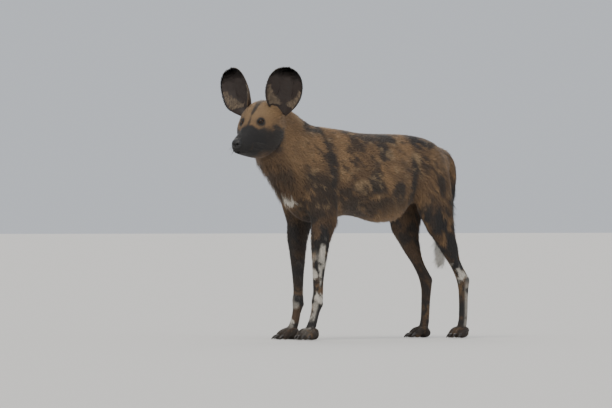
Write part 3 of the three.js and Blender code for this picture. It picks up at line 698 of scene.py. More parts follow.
@dataclass
class Leg:
    """One leg by its level sections, with the foot it stands on."""

    name: str
    rows: Array
    side: int
    stride: float
    fore: bool

    def axis(self, z: Array) -> Array:
        """Reads the leg's middle line and size at each level.

        Args:
            z: Levels.

        Returns:
            Rows of x, y, half length and half width.
        """
        at = along(self.rows, np.clip(z, self.rows[0, 0], self.rows[-1, 0]))
        x = at[:, 0] + self.stride * at[:, 4]
        return np.column_stack([x, self.side * at[:, 1], at[:, 2], at[:, 3]])

    def shell(self, grow: float) -> Shell:
        """Builds the leg as squared ovals at steps of z, pinched before the heel's tendon.

        Args:
            grow: Added to every half size.

        Returns:
            The closed leg.
        """
        z = np.arange(self.rows[0, 0], self.rows[-1, 0] + 1e-9, 0.005)
        at = self.axis(z)
        angle = around(48)
        c, s = (power(f(angle), LEG_ROUNDNESS)[None] for f in (np.cos, np.sin))
        length, width = at[:, 2][:, None] + grow, at[:, 3][:, None] + grow
        side = width * s
        if not self.fore:
            hollow = np.exp(-((z - 0.243) / 0.03) ** 2)[:, None] * np.exp(-((c - 0.45) / 0.28) ** 2)
            side = side * (1 - 0.42 * hollow)
        tendon = np.exp(-((z - 0.085) / 0.035) ** 2)[:, None] * np.exp(-((c - 0.25) / 0.25) ** 2)
        side = side * (1 - 0.14 * tendon)
        x = at[:, 0][:, None] + length * c
        y = at[:, 1][:, None] + self.side * side
        return loft(np.stack([x, y, np.broadcast_to(z[:, None], x.shape)], -1))

    def foot(self) -> Foot:
        """Gives the foot under the leg, turned a little outwards.

        Returns:
            The foot.
        """
        at = self.axis(np.array([0.055]))[0]
        sizes = (0.0, 0.015, 1.0) if self.fore else (-0.006, 0.0135, 0.92)
        heading = 180.0 - self.side * TOE_OUT
        return Foot(np.array([at[0], at[1], 0.0]), heading, *sizes)

    def bones(self) -> Array:
        """Lists the leg's knobs: elbow, wrist and forearm, or heel, knee, calf and ankle.

        Returns:
            Rows of place, reach and height.
        """
        rows = []
        for z, ahead, outward, reach, height in FORE_KNOBS if self.fore else HIND_KNOBS:
            x, y, length, width = self.axis(np.array([z]))[0]
            place = [x + ahead * length, y + self.side * outward * width, z]
            rows.append([*place, reach, height])
        return np.array(rows)


LEGS = [
    Leg("fore_left", FORELEG, LEFT, -FORE_STRIDE, True),
    Leg("fore_right", FORELEG, RIGHT, FORE_STRIDE, True),
    Leg("hind_left", HINDLEG, LEFT, HIND_STRIDE, False),
    Leg("hind_right", HINDLEG, RIGHT, -HIND_STRIDE, False),
]


class Region(Enum):
    """Where on the animal a place lies, for the coat's lie, length and colours."""

    TRUNK = 0
    NECK = 1
    HEAD = 2
    TAIL = 3
    FORE_LEFT = 4
    FORE_RIGHT = 5
    HIND_LEFT = 6
    HIND_RIGHT = 7


LEG_REGIONS = [Region.FORE_LEFT, Region.FORE_RIGHT, Region.HIND_LEFT, Region.HIND_RIGHT]


class Atlas:
    """Sorts places into regions and unwraps each region about its own middle line."""

    def __init__(self, points: Array) -> None:
        """Works out the region and the unwrapped place of every point.

        Args:
            points: Places in the body's frame.
        """
        self.points = points
        self.head = HeadFrame.into(points)
        x, y, z = points.T
        self.region = np.full(len(points), Region.TRUNK.value)
        self.region[x < -0.29 - 0.29 * (0.715 - z)] = Region.NECK.value
        u, v, w = self.head.T
        in_head = (u - 0.32 * (w - 0.04) < 0.214) & (np.abs(v) < 0.1) & (w > -0.1)
        self.region[in_head] = Region.HEAD.value
        self.line, self.ahead = spine(TAIL, TAIL_SAMPLES)
        self.closest = self._nearest()
        self.tail_share = self.closest / (TAIL_SAMPLES - 1.0)
        far = np.linalg.norm(points - self.line[self.closest, :3], axis=1)
        tail = (x > 0.285) & (far < 0.045) & (self.closest > 8)
        tail &= (np.abs(y) < 0.026) | (z < 0.4)
        tail &= x > 0.32 - 0.6 * np.clip(0.6 - z, 0, 0.05)
        for leg, region in zip(LEGS, LEG_REGIONS):
            at = leg.axis(z)
            top = (0.385 if leg.fore else 0.43) + 0.35 * (np.abs(y) - 0.05)
            inside = (np.sign(y) == leg.side) & (z < top)
            inside &= (np.abs(x - at[:, 0]) < at[:, 2] + 0.02) | (z < 0.3)
            inside &= (x < 0) if leg.fore else (x > 0)
            self.region[inside & ~tail] = region.value
        self.region[tail] = Region.TAIL.value

    def _nearest(self) -> Array:
        """Finds the tail line's sample nearest to each point, in blocks to save memory.

        Returns:
            The sample's number for each point.
        """
        out = np.zeros(len(self.points), int)
        for start in range(0, len(out), 20000):
            block = self.points[start:start + 20000, None]
            out[start:start + 20000] = np.linalg.norm(block - self.line[None, :, :3], axis=2).argmin(1)
        return out

    def unwrap(self) -> tuple[Array, Array]:
        """Unwraps every point: metres along its region's middle line, and turns round it.

        Returns:
            The length along, and the share of a turn from 0 to 1.
        """
        x, y, z = self.points.T
        trunk = along(TRUNK, np.clip(x, TRUNK[0, 0], TRUNK[-1, 0]))
        run, turned = x + 0.6, np.arctan2(z - trunk[:, 2], y - trunk[:, 4])
        head = self.region == Region.HEAD.value
        run = np.where(head, self.head[:, 0], run)
        turned = np.where(head, np.arctan2(self.head[:, 2], self.head[:, 1]), turned)
        tail = self.region == Region.TAIL.value
        middle = self.line[self.closest]
        run = np.where(tail, self.tail_share * 0.45, run)
        turned = np.where(tail, np.arctan2(x - middle[:, 0], y - middle[:, 1]), turned)
        for leg, region in zip(LEGS, LEG_REGIONS):
            mine = self.region == region.value
            at = leg.axis(z)
            run = np.where(mine, z, run)
            turned = np.where(mine, np.arctan2(y - at[:, 1], x - at[:, 0]), turned)
        return run, turned / (2 * np.pi) + 0.5

    def lie(self, normals: Array) -> Array:
        """Gives the way the hair lies: back along trunk and head, down the legs and tail.

        Args:
            normals: Unit normals at the points.

        Returns:
            Unit directions in the surface.
        """
        x, _, z = self.points.T
        ones, zeros = np.ones(len(x)), np.zeros(len(x))
        flow = np.stack([ones, zeros, -0.25 - 0.9 * ease(-z, -0.56, -0.42)], -1)
        flow = blend(flow, np.array([0.75, 0.0, -0.75]), 1 - ease(x, -0.4, -0.27))
        downward = ease(-normals[:, 2] - 0.6 * normals[:, 0], 0.2, 0.9)
        chest = (1 - ease(x, -0.36, -0.28)) * downward
        flow = blend(flow, np.array([0.35, 0.0, -1.0]), chest)
        thigh = ease(x, 0.1, 0.18) * (1 - ease(z, 0.46, 0.6))
        flow = blend(flow, np.array([0.35, 0.0, -1.0]), thigh)
        arm = ease(-z, -0.56, -0.44) * (1 - ease(x, -0.22, -0.16))
        arm = arm * ease(x, -0.36, -0.3)
        flow = blend(flow, np.array([0.3, 0.0, -1.0]), arm)
        for region in LEG_REGIONS:
            mine = self.region == region.value
            flow[mine] = np.array([0.18, 0.0, -1.0])
            flow[mine & (z < 0.05)] = np.array([-0.8, 0.0, -0.6])
        head = self.region == Region.HEAD.value
        u, v, w = self.head[head].T
        cheek = ease(u, 0.1, 0.16)
        pull = np.stack([np.ones_like(u), 0.25 * np.sign(v) * cheek, -0.45 * cheek * (w < 0.04)], -1)
        flow[head] = HeadFrame.turn_out(pull)
        tail = self.region == Region.TAIL.value
        flow[tail] = self.ahead[self.closest[tail]] + 0.12 * normals[tail]
        flow = unit(flow)
        return unit(flow - normals * np.einsum("ij,ij->i", flow, normals)[:, None])


class Tone(Enum):
    """The coat's colours, as linear red, green and blue; the brush's white also carries painted light.
    """

    BLACK = (0.016, 0.013, 0.012)
    UMBER = (0.036, 0.022, 0.013)
    BROWN = (0.095, 0.052, 0.024)
    TAN = (0.258, 0.148, 0.064)
    SAND = (0.39, 0.262, 0.135)
    WHITE = (0.78, 0.72, 0.62)
    # The tail brush's white, brighter than WHITE: painted light, the brush as if lit from behind.
    BRUSH = (0.94, 0.89, 0.81)


@dataclass(frozen=True)
class Patch:
    """A patch of the flank seen from its side: middle, half sizes, tilt in degrees, colour."""

    x: float
    z: float
    long: float
    high: float
    tilt: float
    tone: Tone


LEFT_PATCHES = (
    Patch(-0.29, 0.676, 0.05, 0.02, -12, Tone.BLACK),
    Patch(-0.33, 0.455, 0.12, 0.085, -8, Tone.UMBER),
    Patch(-0.245, 0.56, 0.015, 0.095, 6, Tone.BLACK),
    Patch(-0.185, 0.59, 0.034, 0.075, 4, Tone.TAN),
    Patch(0.02, 0.642, 0.04, 0.018, 8, Tone.BLACK),
    Patch(-0.022, 0.6, 0.026, 0.034, -16, Tone.BLACK),
    Patch(0.18, 0.64, 0.058, 0.034, 8, Tone.BLACK),
    Patch(-0.12, 0.62, 0.03, 0.03, 0, Tone.UMBER),
    # Tall narrow black patch before the near thigh: partly the dark band of fur at the thigh's front,
    # partly painted shade in the hollow between flank and thigh.
    Patch(0.118, 0.49, 0.018, 0.095, 4, Tone.BLACK),
    Patch(-0.15, 0.455, 0.06, 0.034, -20, Tone.UMBER),
    Patch(-0.06, 0.5, 0.022, 0.036, 30, Tone.BLACK),
    Patch(0.04, 0.47, 0.036, 0.03, -15, Tone.BLACK),
    Patch(-0.03, 0.425, 0.13, 0.034, 5, Tone.UMBER),
    Patch(0.235, 0.5, 0.02, 0.04, 20, Tone.BLACK),
    Patch(0.285, 0.43, 0.02, 0.034, -10, Tone.BLACK),
    Patch(0.085, 0.615, 0.03, 0.045, -30, Tone.TAN),
    Patch(-0.32, 0.61, 0.055, 0.05, 0, Tone.TAN),
)
RIGHT_PATCHES = (
    Patch(-0.29, 0.64, 0.05, 0.04, 14, Tone.BLACK),
    Patch(-0.2, 0.56, 0.04, 0.06, -10, Tone.BLACK),
    Patch(-0.13, 0.64, 0.05, 0.024, 0, Tone.TAN),
    Patch(-0.08, 0.54, 0.05, 0.04, 24, Tone.SAND),
    Patch(-0.02, 0.62, 0.05, 0.034, -8, Tone.BLACK),
    Patch(0.055, 0.53, 0.04, 0.055, 12, Tone.BLACK),
    Patch(0.13, 0.61, 0.04, 0.045, 0, Tone.TAN),
    Patch(0.205, 0.59, 0.04, 0.05, -12, Tone.BLACK),
    Patch(0.245, 0.47, 0.03, 0.04, 16, Tone.TAN),
    Patch(-0.34, 0.54, 0.034, 0.05, 18, Tone.TAN),
    Patch(-0.1, 0.45, 0.07, 0.035, 8, Tone.BLACK),
    Patch(0.03, 0.43, 0.06, 0.03, -6, Tone.BROWN),
)
EDGE = 0.22  # softness of a patch's edge, as a share of its size
BIB_AT, BIB_REACH = (-0.372, -0.018, 0.444), (0.03, 0.028, 0.036)
EYE_MARK = (0.113, 0.036, 0.047)


class Markings:
    """The coat's colours as a function of place, the same for skin and tufts."""

    def __init__(self, atlas: Atlas) -> None:
        """Takes the places to colour.

        Args:
            atlas: The places, sorted by region.
        """
        self.atlas = atlas
        self.points = atlas.points
        warp, fine = (
            np.stack([rough_noise(self.points, cell, seed) for seed in seeds], -1)
            for cell, seeds in ((0.045, (3, 5, 7)), (0.012, (13, 15, 17)))
        )
        self.warped = self.points + 0.016 * warp + 0.005 * fine

    def _plain(self, tone: Tone) -> Array:
        """Gives every place one tone."""
        return np.tile(np.array(tone.value), (len(self.points), 1))

    @staticmethod
    def _lay(colour: Array, *layers: tuple[Array, Tone]) -> Array:
        """Mixes tones over the colour one after another, each by its own share.

        Args:
            colour: The colours so far.
            *layers: Pairs of a share for each place and its tone.

        Returns:
            The new colours.
        """
        for share, tone in layers:
            colour = blend(colour, np.array(tone.value), np.clip(share, 0, 1))
        return colour

    def _mottle(self, cell: float, seed: int, level: float, edge: float = 0.1) -> Array:
        """Gives a mask where rough noise at the warped places passes a level."""
        return ease(rough_noise(self.warped, cell, seed), level - edge, level + edge)

    def _brindle(self, cell: float, seed: int, level: float, edge: float = 0.14) -> Array:
        """Gives a mask of streaks drawn out four times along the way back and down.

        Args:
            cell: Width of a streak in metres.
            seed: Picks the pattern.
            level: How high the noise must be for a streak.
            edge: Softness of its edge.

        Returns:
            A share from 0 to 1 for each place.
        """
        x, y, z = self.warped.T
        drawn = np.stack([(x - 0.8 * z) * 0.22, y, 0.8 * x + z], -1)
        return ease(rough_noise(drawn, cell, seed), level - edge, level + edge)

    def _patches(self, colour: Array, patches: tuple[Patch, ...], mine: Array) -> Array:
        """Lays tilted oval patches, in side view, over the masked places.

        Args:
            colour: The colours so far.
            patches: The patches, in the order they are laid.
            mine: Share of each place on their side.

        Returns:
            The new colours.
        """
        for patch in patches:
            a = math.radians(patch.tilt)
            dx, dz = self.warped[:, 0] - patch.x, self.warped[:, 2] - patch.z
            far = np.hypot((dx * math.cos(a) + dz * math.sin(a)) / patch.long,
                           (dz * math.cos(a) - dx * math.sin(a)) / patch.high)
            share = 1 - ease(far, 1 - EDGE, 1 + EDGE)
            colour = self._lay(colour, (0.86 * share * mine, patch.tone))
        return colour

    def body(self) -> Array:
        """Colours trunk and neck: brown and black mottling with tan, sand and dark patches, painted
        highlight along the belly's fringe and painted shade before the near thigh.

        Returns:
            A colour for every place, as if it lay on the trunk.
        """
        x, y, z = self.points.T
        left = 1 - ease(y, -0.012, 0.012)
        # Painted highlight: tan laid along the belly's low fringe, the fringe as if lit from behind.
        lit_fringe = near(self.points, 0.045, 0.05, 0.388, 0.048)
        neck = 1 - ease(self.warped[:, 0], -0.375, -0.33)
        nape = neck * ease(z - 0.25 * (x + 0.43), 0.715, 0.745)
        throat = neck * (1 - ease(z + 0.9 * (x + 0.43), 0.545, 0.6))
        off = (self.points - np.array(BIB_AT)) / np.array(BIB_REACH)
        bib = np.exp(-(off * off).sum(1)) + 0.25 * rough_noise(self.warped, 0.02, 71)
        colour = self._plain(Tone.TAN)
        colour = self._lay(
            colour,
            (0.65 * self._mottle(0.05, 41, 0.0, 0.2), Tone.BROWN),
            (0.55 * self._brindle(0.02, 42, 0.0), Tone.BROWN),
            (0.7 * self._mottle(0.055, 43, 0.26), Tone.BLACK),
            (0.6 * self._mottle(0.045, 47, 0.38), Tone.SAND),
        )
        colour = self._patches(colour, LEFT_PATCHES, left)
        colour = self._patches(colour, RIGHT_PATCHES, 1 - left)
        return self._lay(
            colour,
            (0.8 * self._brindle(0.013, 53, 0.24), Tone.UMBER),
            (0.6 * self._brindle(0.012, 59, 0.34), Tone.TAN),
            (0.45 * self._mottle(0.016, 63, 0.42), Tone.SAND),
            (0.9 * lit_fringe, Tone.TAN),
            (0.75 * neck, Tone.TAN),
            (0.8 * nape, Tone.BROWN),
            (0.75 * throat, Tone.BROWN),
            (0.5 * throat * self._mottle(0.028, 67, 0.05), Tone.BLACK),
            (ease(bib, 0.45, 0.65), Tone.WHITE),
        )

    def head(self) -> Array:
        """Colours the head: black muzzle, cheeks and brow line, tan crown and cheeks' backs.

        Returns:
            A colour for every place, as if it lay on the head.
        """
        u, v, w = self.atlas.head.T
        out = np.abs(v)
        rag = 0.013 * rough_noise(self.points, 0.026, 73) + 0.006 * rough_noise(self.points, 0.007, 75)
        cheek = np.hypot((u - 0.118) / 0.074, (w + 0.02) / 0.052) + 34 * rag
        muzzle = 1 - ease(u + 0.35 * np.clip(w, 0, 1) + rag, 0.098, 0.112)
        spread = 0.0045 + 0.006 * ease(u, 0.14, 0.19)
        line = (1 - ease(out + 0.35 * rag, spread - 0.003, spread + 0.003)) * (w > 0.02)
        from_eye = np.linalg.norm(np.stack([u, out, w], -1) - np.array(EYE_MARK), axis=1)
        chin = ease(-w + rag, 0.05, 0.062) * ease(u, 0.05, 0.1)
        back = ease(u + rag, 0.188, 0.215) * (w < 0.03)
        colour = self._plain(Tone.TAN)
        return self._lay(
            colour,
            (0.45 * self._mottle(0.03, 77, 0.0, 0.3), Tone.BROWN),
            (0.35 * ease(w + rag, 0.03, 0.075), Tone.SAND),
            (0.96 * (1 - ease(cheek, 0.78, 1.1)), Tone.BLACK),
            (muzzle, Tone.BLACK),
            ((0.9 - 0.35 * ease(u, 0.15, 0.2)) * line, Tone.BLACK),
            (1 - ease(from_eye, 0.012, 0.019), Tone.BLACK),
            (0.7 * chin, Tone.BROWN),
            (0.55 * back, Tone.BROWN),
            (0.45 * self._mottle(0.03, 79, 0.35), Tone.BROWN),
        )

    def leg(self, leg: Leg) -> Array:
        """Colours one leg: black and brown above, white and tan patches lower down, painted shade over
        the far side's legs.

        Args:
            leg: The leg.

        Returns:
            A colour for every place, as if it lay on that leg.
        """
        x, y, z = self.points.T
        at = leg.axis(z)
        ahead = (at[:, 0] - x) / np.maximum(at[:, 2], 0.01)
        near_side = leg.side == LEFT
        seed = 101 + 13 * LEGS.index(leg)
        colour = self._plain(Tone.BROWN)
        colour = self._lay(
            colour,
            (self._mottle(0.045, seed, -0.1), Tone.BLACK),
            (0.65 * self._mottle(0.03, seed + 2, 0.26), Tone.TAN),
        )
        low = 1 - ease(z, 0.2, 0.3)
        level = 0.16 if near_side else 0.24 if leg.fore else 0.6
        spots = low if leg.fore else low * ease(z, 0.1, 0.13)
        colour = self._lay(
            colour,
            (spots * self._mottle(0.034, seed + 4, level, 0.06), Tone.WHITE),
            (0.9 * low * self._mottle(0.016, seed + 6, 0.2, 0.08), Tone.BLACK),
        )
        # Painted shade: the far side's legs, which stand in shadow, are laid over with umber on the
        # forelegs and brown on the hind legs from a little above the feet upwards, with black streaks
        # over that.
        if not near_side:
            dark = ease(z, 0.13, 0.18) if leg.fore else ease(z, 0.1, 0.16)
            colour = self._lay(colour, (0.85 * dark, Tone.UMBER if leg.fore else Tone.BROWN))
            colour = self._lay(colour, (0.8 * dark * self._brindle(0.018, seed + 7, 0.05), Tone.BLACK))
        if leg.fore:
            front = ease(ahead, 0.15, 0.55) * (1 - ease(z, 0.11, 0.15))
            pale = (0.62 if near_side else 0.42) * front
            colour = self._lay(colour, (pale * self._mottle(0.018, seed + 8, 0.0), Tone.WHITE))
        if leg.fore and near_side:
            outer = ease(leg.side * (y - at[:, 1]), 0.0, 0.012)
            stripe = 1 - ease(np.hypot((ahead - 0.15) / 0.42, (z - 0.25) / 0.08), 0.8, 1.1)
            pale = 0.85 * stripe * outer
            colour = self._lay(colour, (pale * self._mottle(0.02, seed + 5, -0.1), Tone.WHITE))
        if near_side and not leg.fore:
            rear = ease(-ahead, -0.45, 0.05) * (1 - ease(z, 0.165, 0.195))
            colour = self._lay(colour, (0.55 * rear * self._mottle(0.022, seed + 8, -0.45), Tone.WHITE))
        foot = 1 - ease(z + 0.008 * rough_noise(self.points, 0.02, seed), 0.032, 0.05)
        return self._lay(
            colour,
            (0.9 * foot, Tone.UMBER),
            (0.35 * foot * self._mottle(0.02, seed + 9, 0.3), Tone.TAN),
        )

    def tail(self) -> Array:
        """Colours the tail: a root like the rump, a dark middle and a white brush made brighter by
        painted light.

        Returns:
            A colour for every place, as if it lay on the tail.
        """
        share = self.atlas.tail_share + 0.03 * rough_noise(self.points, 0.03, 91)
        return self._lay(
            self.body(),
            (ease(share, 0.3, 0.4), Tone.BLACK),
            (ease(share, 0.5, 0.6), Tone.BRUSH),
        )

    def colours(self) -> Array:
        """Colours every place by its region, blended where head and legs meet the trunk.

        Returns:
            Linear red, green and blue, one row for each place.
        """
        x, y, z = self.points.T
        u, _, w = self.atlas.head.T
        region = self.atlas.region
        in_head = ease(-(u - 0.32 * (w - 0.04)), -0.226, -0.196)
        colour = blend(self.body(), self.head(), in_head * (region <= Region.HEAD.value))
        apart = (region == Region.TAIL.value) | (region == Region.HEAD.value)
        for leg in LEGS:
            mine = (np.sign(y) == leg.side) & ((x < -0.16) if leg.fore else (x > 0.12)) & ~apart
            top = 0.4 if leg.fore else 0.44
            rag = 0.02 * rough_noise(self.points, 0.04, 97)
            share = mine * (1 - ease(z + rag, top - 0.04, top + 0.04))
            colour = blend(colour, self.leg(leg), share)
        return np.where((region == Region.TAIL.value)[:, None], self.tail(), colour)


def set_colour(thing: Thing, colours: Array) -> None:
    """Stores a colour for each corner point of a mesh.

    Args:
        thing: The mesh object.
        colours: Linear red, green and blue, one row for each point.
    """
    layer = thing.data.color_attributes.new("coat_colour", "FLOAT_COLOR", "POINT")
    filled = np.column_stack([np.clip(colours, 0, 1), np.ones(len(colours))])
    layer.data.foreach_set("color", filled.astype(np.float32).ravel())


def set_vector(thing: Thing, name: str, vectors: Array) -> None:
    """Stores a vector for each point of a mesh under a name."""
    layer = thing.data.attributes.new(name, "FLOAT_VECTOR", "POINT")
    layer.data.foreach_set("vector", vectors.astype(np.float32).ravel())


def set_bake_map(thing: Thing, places: Array) -> None:
    """Writes the OFBake map.

    Args:
        thing: A mesh object.
        places: Where each of its points lies on the map, from 0 to 1.
    """
    mesh = thing.data
    ids = np.zeros(len(mesh.loops), np.int32)
    mesh.loops.foreach_get("vertex_index", ids)
    layer = mesh.uv_layers.new(name="OFBake")
    layer.data.foreach_set("uv", places[ids].astype(np.float32).ravel())


def welded(thing: Thing, voxel: float) -> Shell:
    """Fuses a joined mesh into one closed surface of even cells.

    Args:
        thing: The mesh object; it is deleted.
        voxel: Cell size in metres.

    Returns:
        The fused surface in the body's frame.
    """
    step = thing.modifiers.new("fuse", "REMESH")
    step.mode = "VOXEL"
    step.voxel_size = voxel
    mesh = thing.evaluated_get(bpy.context.evaluated_depsgraph_get()).to_mesh()
    points = np.zeros(len(mesh.vertices) * 3, np.float32)
    mesh.vertices.foreach_get("co", points)
    corners = np.zeros(len(mesh.loops), np.int32)
    mesh.loops.foreach_get("vertex_index", corners)
    bpy.data.objects.remove(thing)
    return Shell(points.reshape(-1, 3).astype(float) - ORIGIN, corners.reshape(-1, 4).astype(int))


def edges_of(quads: Array) -> Array:
    """Lists each edge of a quad mesh once."""
    pairs = np.sort(np.vstack([quads[:, [k, (k + 1) % 4]] for k in range(4)]), axis=1)
    return np.unique(pairs, axis=0)


def relax(points: Array, edges: Array, weight: Array, rounds: int) -> Array:
    """Moves each point towards the mean of its neighbours, by its own weight, again and again.

    Args:
        points: Corners.
        edges: Pairs of corners.
        weight: One share for each corner; a negative one moves it away.
        rounds: How many times.

    Returns:
        The moved corners.
    """
    a, b = edges.T
    count = np.bincount(a, minlength=len(points)) + np.bincount(b, minlength=len(points))
    for _ in range(rounds):
        mean = np.stack([
            np.bincount(a, points[b, k], len(points)) + np.bincount(b, points[a, k], len(points))
            for k in range(3)
        ], -1) / count[:, None]
        points = points + weight[:, None] * (mean - points)
    return points


def near(points: Array, x: float, out: float, z: float, reach: float) -> Array:
    """Gives exp(-(distance / reach)^2) from a place that both sides share."""
    far = np.linalg.norm(folded(points) - np.array([x, out, z]), axis=1)
    return np.exp(-((far / reach) ** 2))


# A lid's section: size as a share of the opening's, height over the ball
LID_SECTION = np.array([
    [1.02, -0.0006], [0.985, 0.0002], [0.985, 0.0009], [1.02, 0.0014], [1.08, 0.0016],
    [1.16, 0.0016], [1.25, 0.0016], [1.36, 0.0013], [1.5, 0.0004], [1.64, -0.0012],
    [1.56, -0.0034], [1.36, -0.0032], [1.15, -0.0025],
])


class Eye:
    """One eye: its centre and axes in the body's frame."""

    half_opening: float = 0.0104
    half_height: float = 0.0064

    def __init__(self, side: int) -> None:
        """Places the eye on one side of the head.

        Args:
            side: 1 for the animal's left, -1 for its right, as the head's own frame counts.
        """
        self.side = side
        turned = math.radians(EYE_TURN)
        look = unit(np.array([-math.cos(turned), side * math.sin(turned), 0.12]))
        ahead = unit(np.cross(np.array([0.0, 0.0, 1.0]), look) * -side)
        ahead = ahead if ahead[0] < 0 else -ahead
        rise = unit(np.cross(look, ahead))
        rise = rise if rise[2] > 0 else -rise
        self.centre = HeadFrame.out((EYE_AT * np.array([1, side, 1]))[None])[0]
        self.look, self.ahead, self.rise = HeadFrame.turn_out(np.array([look, ahead, rise]))

    def place(self, across: Array, up: Array, radius: Array) -> Array:
        """Wraps flat places over the ball: their distance from the middle is an arc on it.

        Args:
            across: Metres towards the inner corner.
            up: Metres towards the brow.
            radius: Distance from the eye's centre.

        Returns:
            Places in the body's frame.
        """
        far = np.maximum(np.hypot(across, up), 1e-9)
        arc = far / (EYE_RADIUS + 0.001)
        flat = (across / far)[..., None] * self.ahead + (up / far)[..., None] * self.rise
        ray = np.cos(arc)[..., None] * self.look + np.sin(arc)[..., None] * flat
        return self.centre + np.asarray(radius)[..., None] * ray

    def rim(self, angle: Array, grow: Array) -> tuple[Array, Array]:
        """Gives the opening's edge: an almond, its inner corner drawn forward and down.

        Args:
            angle: Angles round the almond, 0 at the inner corner.
            grow: Size as a share of the opening's own.

        Returns:
            Metres across and up from the eye's middle.
        """
        c, s = np.cos(angle), np.sin(angle)
        across = self.half_opening * grow * c * (1 + 0.1 * np.maximum(c, 0) ** 4)
        up = self.half_height * grow * np.sign(s) * np.abs(s) ** 1.15 * np.where(s > 0, 1.0, 0.8)
        return across, up - 0.0022 * np.clip(c, -0.3, 1) ** 3

    def within(self, points: Array, grow: float) -> Array:
        """Tells which places lie in front of the opening.

        Args:
            points: Places in the body's frame.
            grow: Size as a share of the opening's own.

        Returns:
            True for each place in front of it.
        """
        ray = unit(points - self.centre)
        facing = ray @ self.look
        arc = np.arccos(np.clip(facing, -1, 1)) * (EYE_RADIUS + 0.001)
        flat = unit(ray - facing[:, None] * self.look) * arc[:, None]
        a, u = flat @ self.ahead, flat @ self.rise
        return (a / (self.half_opening * grow)) ** 2 + (u / (self.half_height * grow)) ** 2 < 1

    def ball(self) -> tuple[Shell, Array]:
        """Builds the eyeball, a sphere with the cornea's bulge in front.

        Returns:
            The ball, and the angle of each of its points from the pupil's middle.
        """
        polar = np.concatenate([np.linspace(0.01, 0.8, 60), np.linspace(0.84, 3.1, 28)])
        angle = around(64)
        bulge = 0.0009 * np.clip(1 - (polar / 0.62) ** 2, 0, 1)
        flat = np.cos(angle)[None, :, None] * self.ahead + np.sin(angle)[None, :, None] * self.rise
        ray = np.cos(polar)[:, None, None] * self.look + np.sin(polar)[:, None, None] * flat
        shell = loft(self.centre + (EYE_RADIUS + bulge)[:, None, None] * ray)
        gaze = np.concatenate([np.repeat(polar, 64), [0.0, np.pi]])
        return shell, gaze

    def lids(self) -> Shell:
        """Builds the lids as one ring: a rounded margin on the ball that runs out into the skin.

        Each section round the almond is a loop: out over the lid's top from margin to orbit, and
        back beneath it.

        Returns:
            The closed ring.
        """
        angle = around(96)
        grow = np.broadcast_to(LID_SECTION[:, 0], (96, len(LID_SECTION)))
        across, up = self.rim(angle[:, None], grow)
        height = LID_SECTION[:, 1]
        upper = np.clip(np.sin(angle), 0, 1)[:, None]
        radius = EYE_RADIUS + height + 0.0006 * upper * (height > 0)
        rings = self.place(across, up, radius)
        ids = np.arange(96 * len(height)).reshape(96, -1)
        onward = np.roll(ids, -1, 0)
        quads = np.stack([ids, onward, np.roll(onward, -1, 1), np.roll(ids, -1, 1)], -1)
        shell = Shell(rings.reshape(-1, 3), quads.reshape(-1, 4))
        return shell if enclosed(shell) > 0 else flipped(shell)


EYES = (Eye(1), Eye(-1))


# Places where the parts run into each other: x, outward, z, reach
JOINS = (
    (-0.25, 0.078, 0.6, 0.075), (-0.28, 0.07, 0.52, 0.07),
    (-0.2, 0.07, 0.47, 0.055), (0.2, 0.065, 0.59, 0.08),
    (0.14, 0.08, 0.5, 0.06), (0.27, 0.06, 0.52, 0.065),
    (0.14, 0.07, 0.43, 0.05), (0.3, 0.0, 0.59, 0.035),
    (-0.3, 0.05, 0.43, 0.06), (0.25, 0.03, 0.46, 0.06),
)


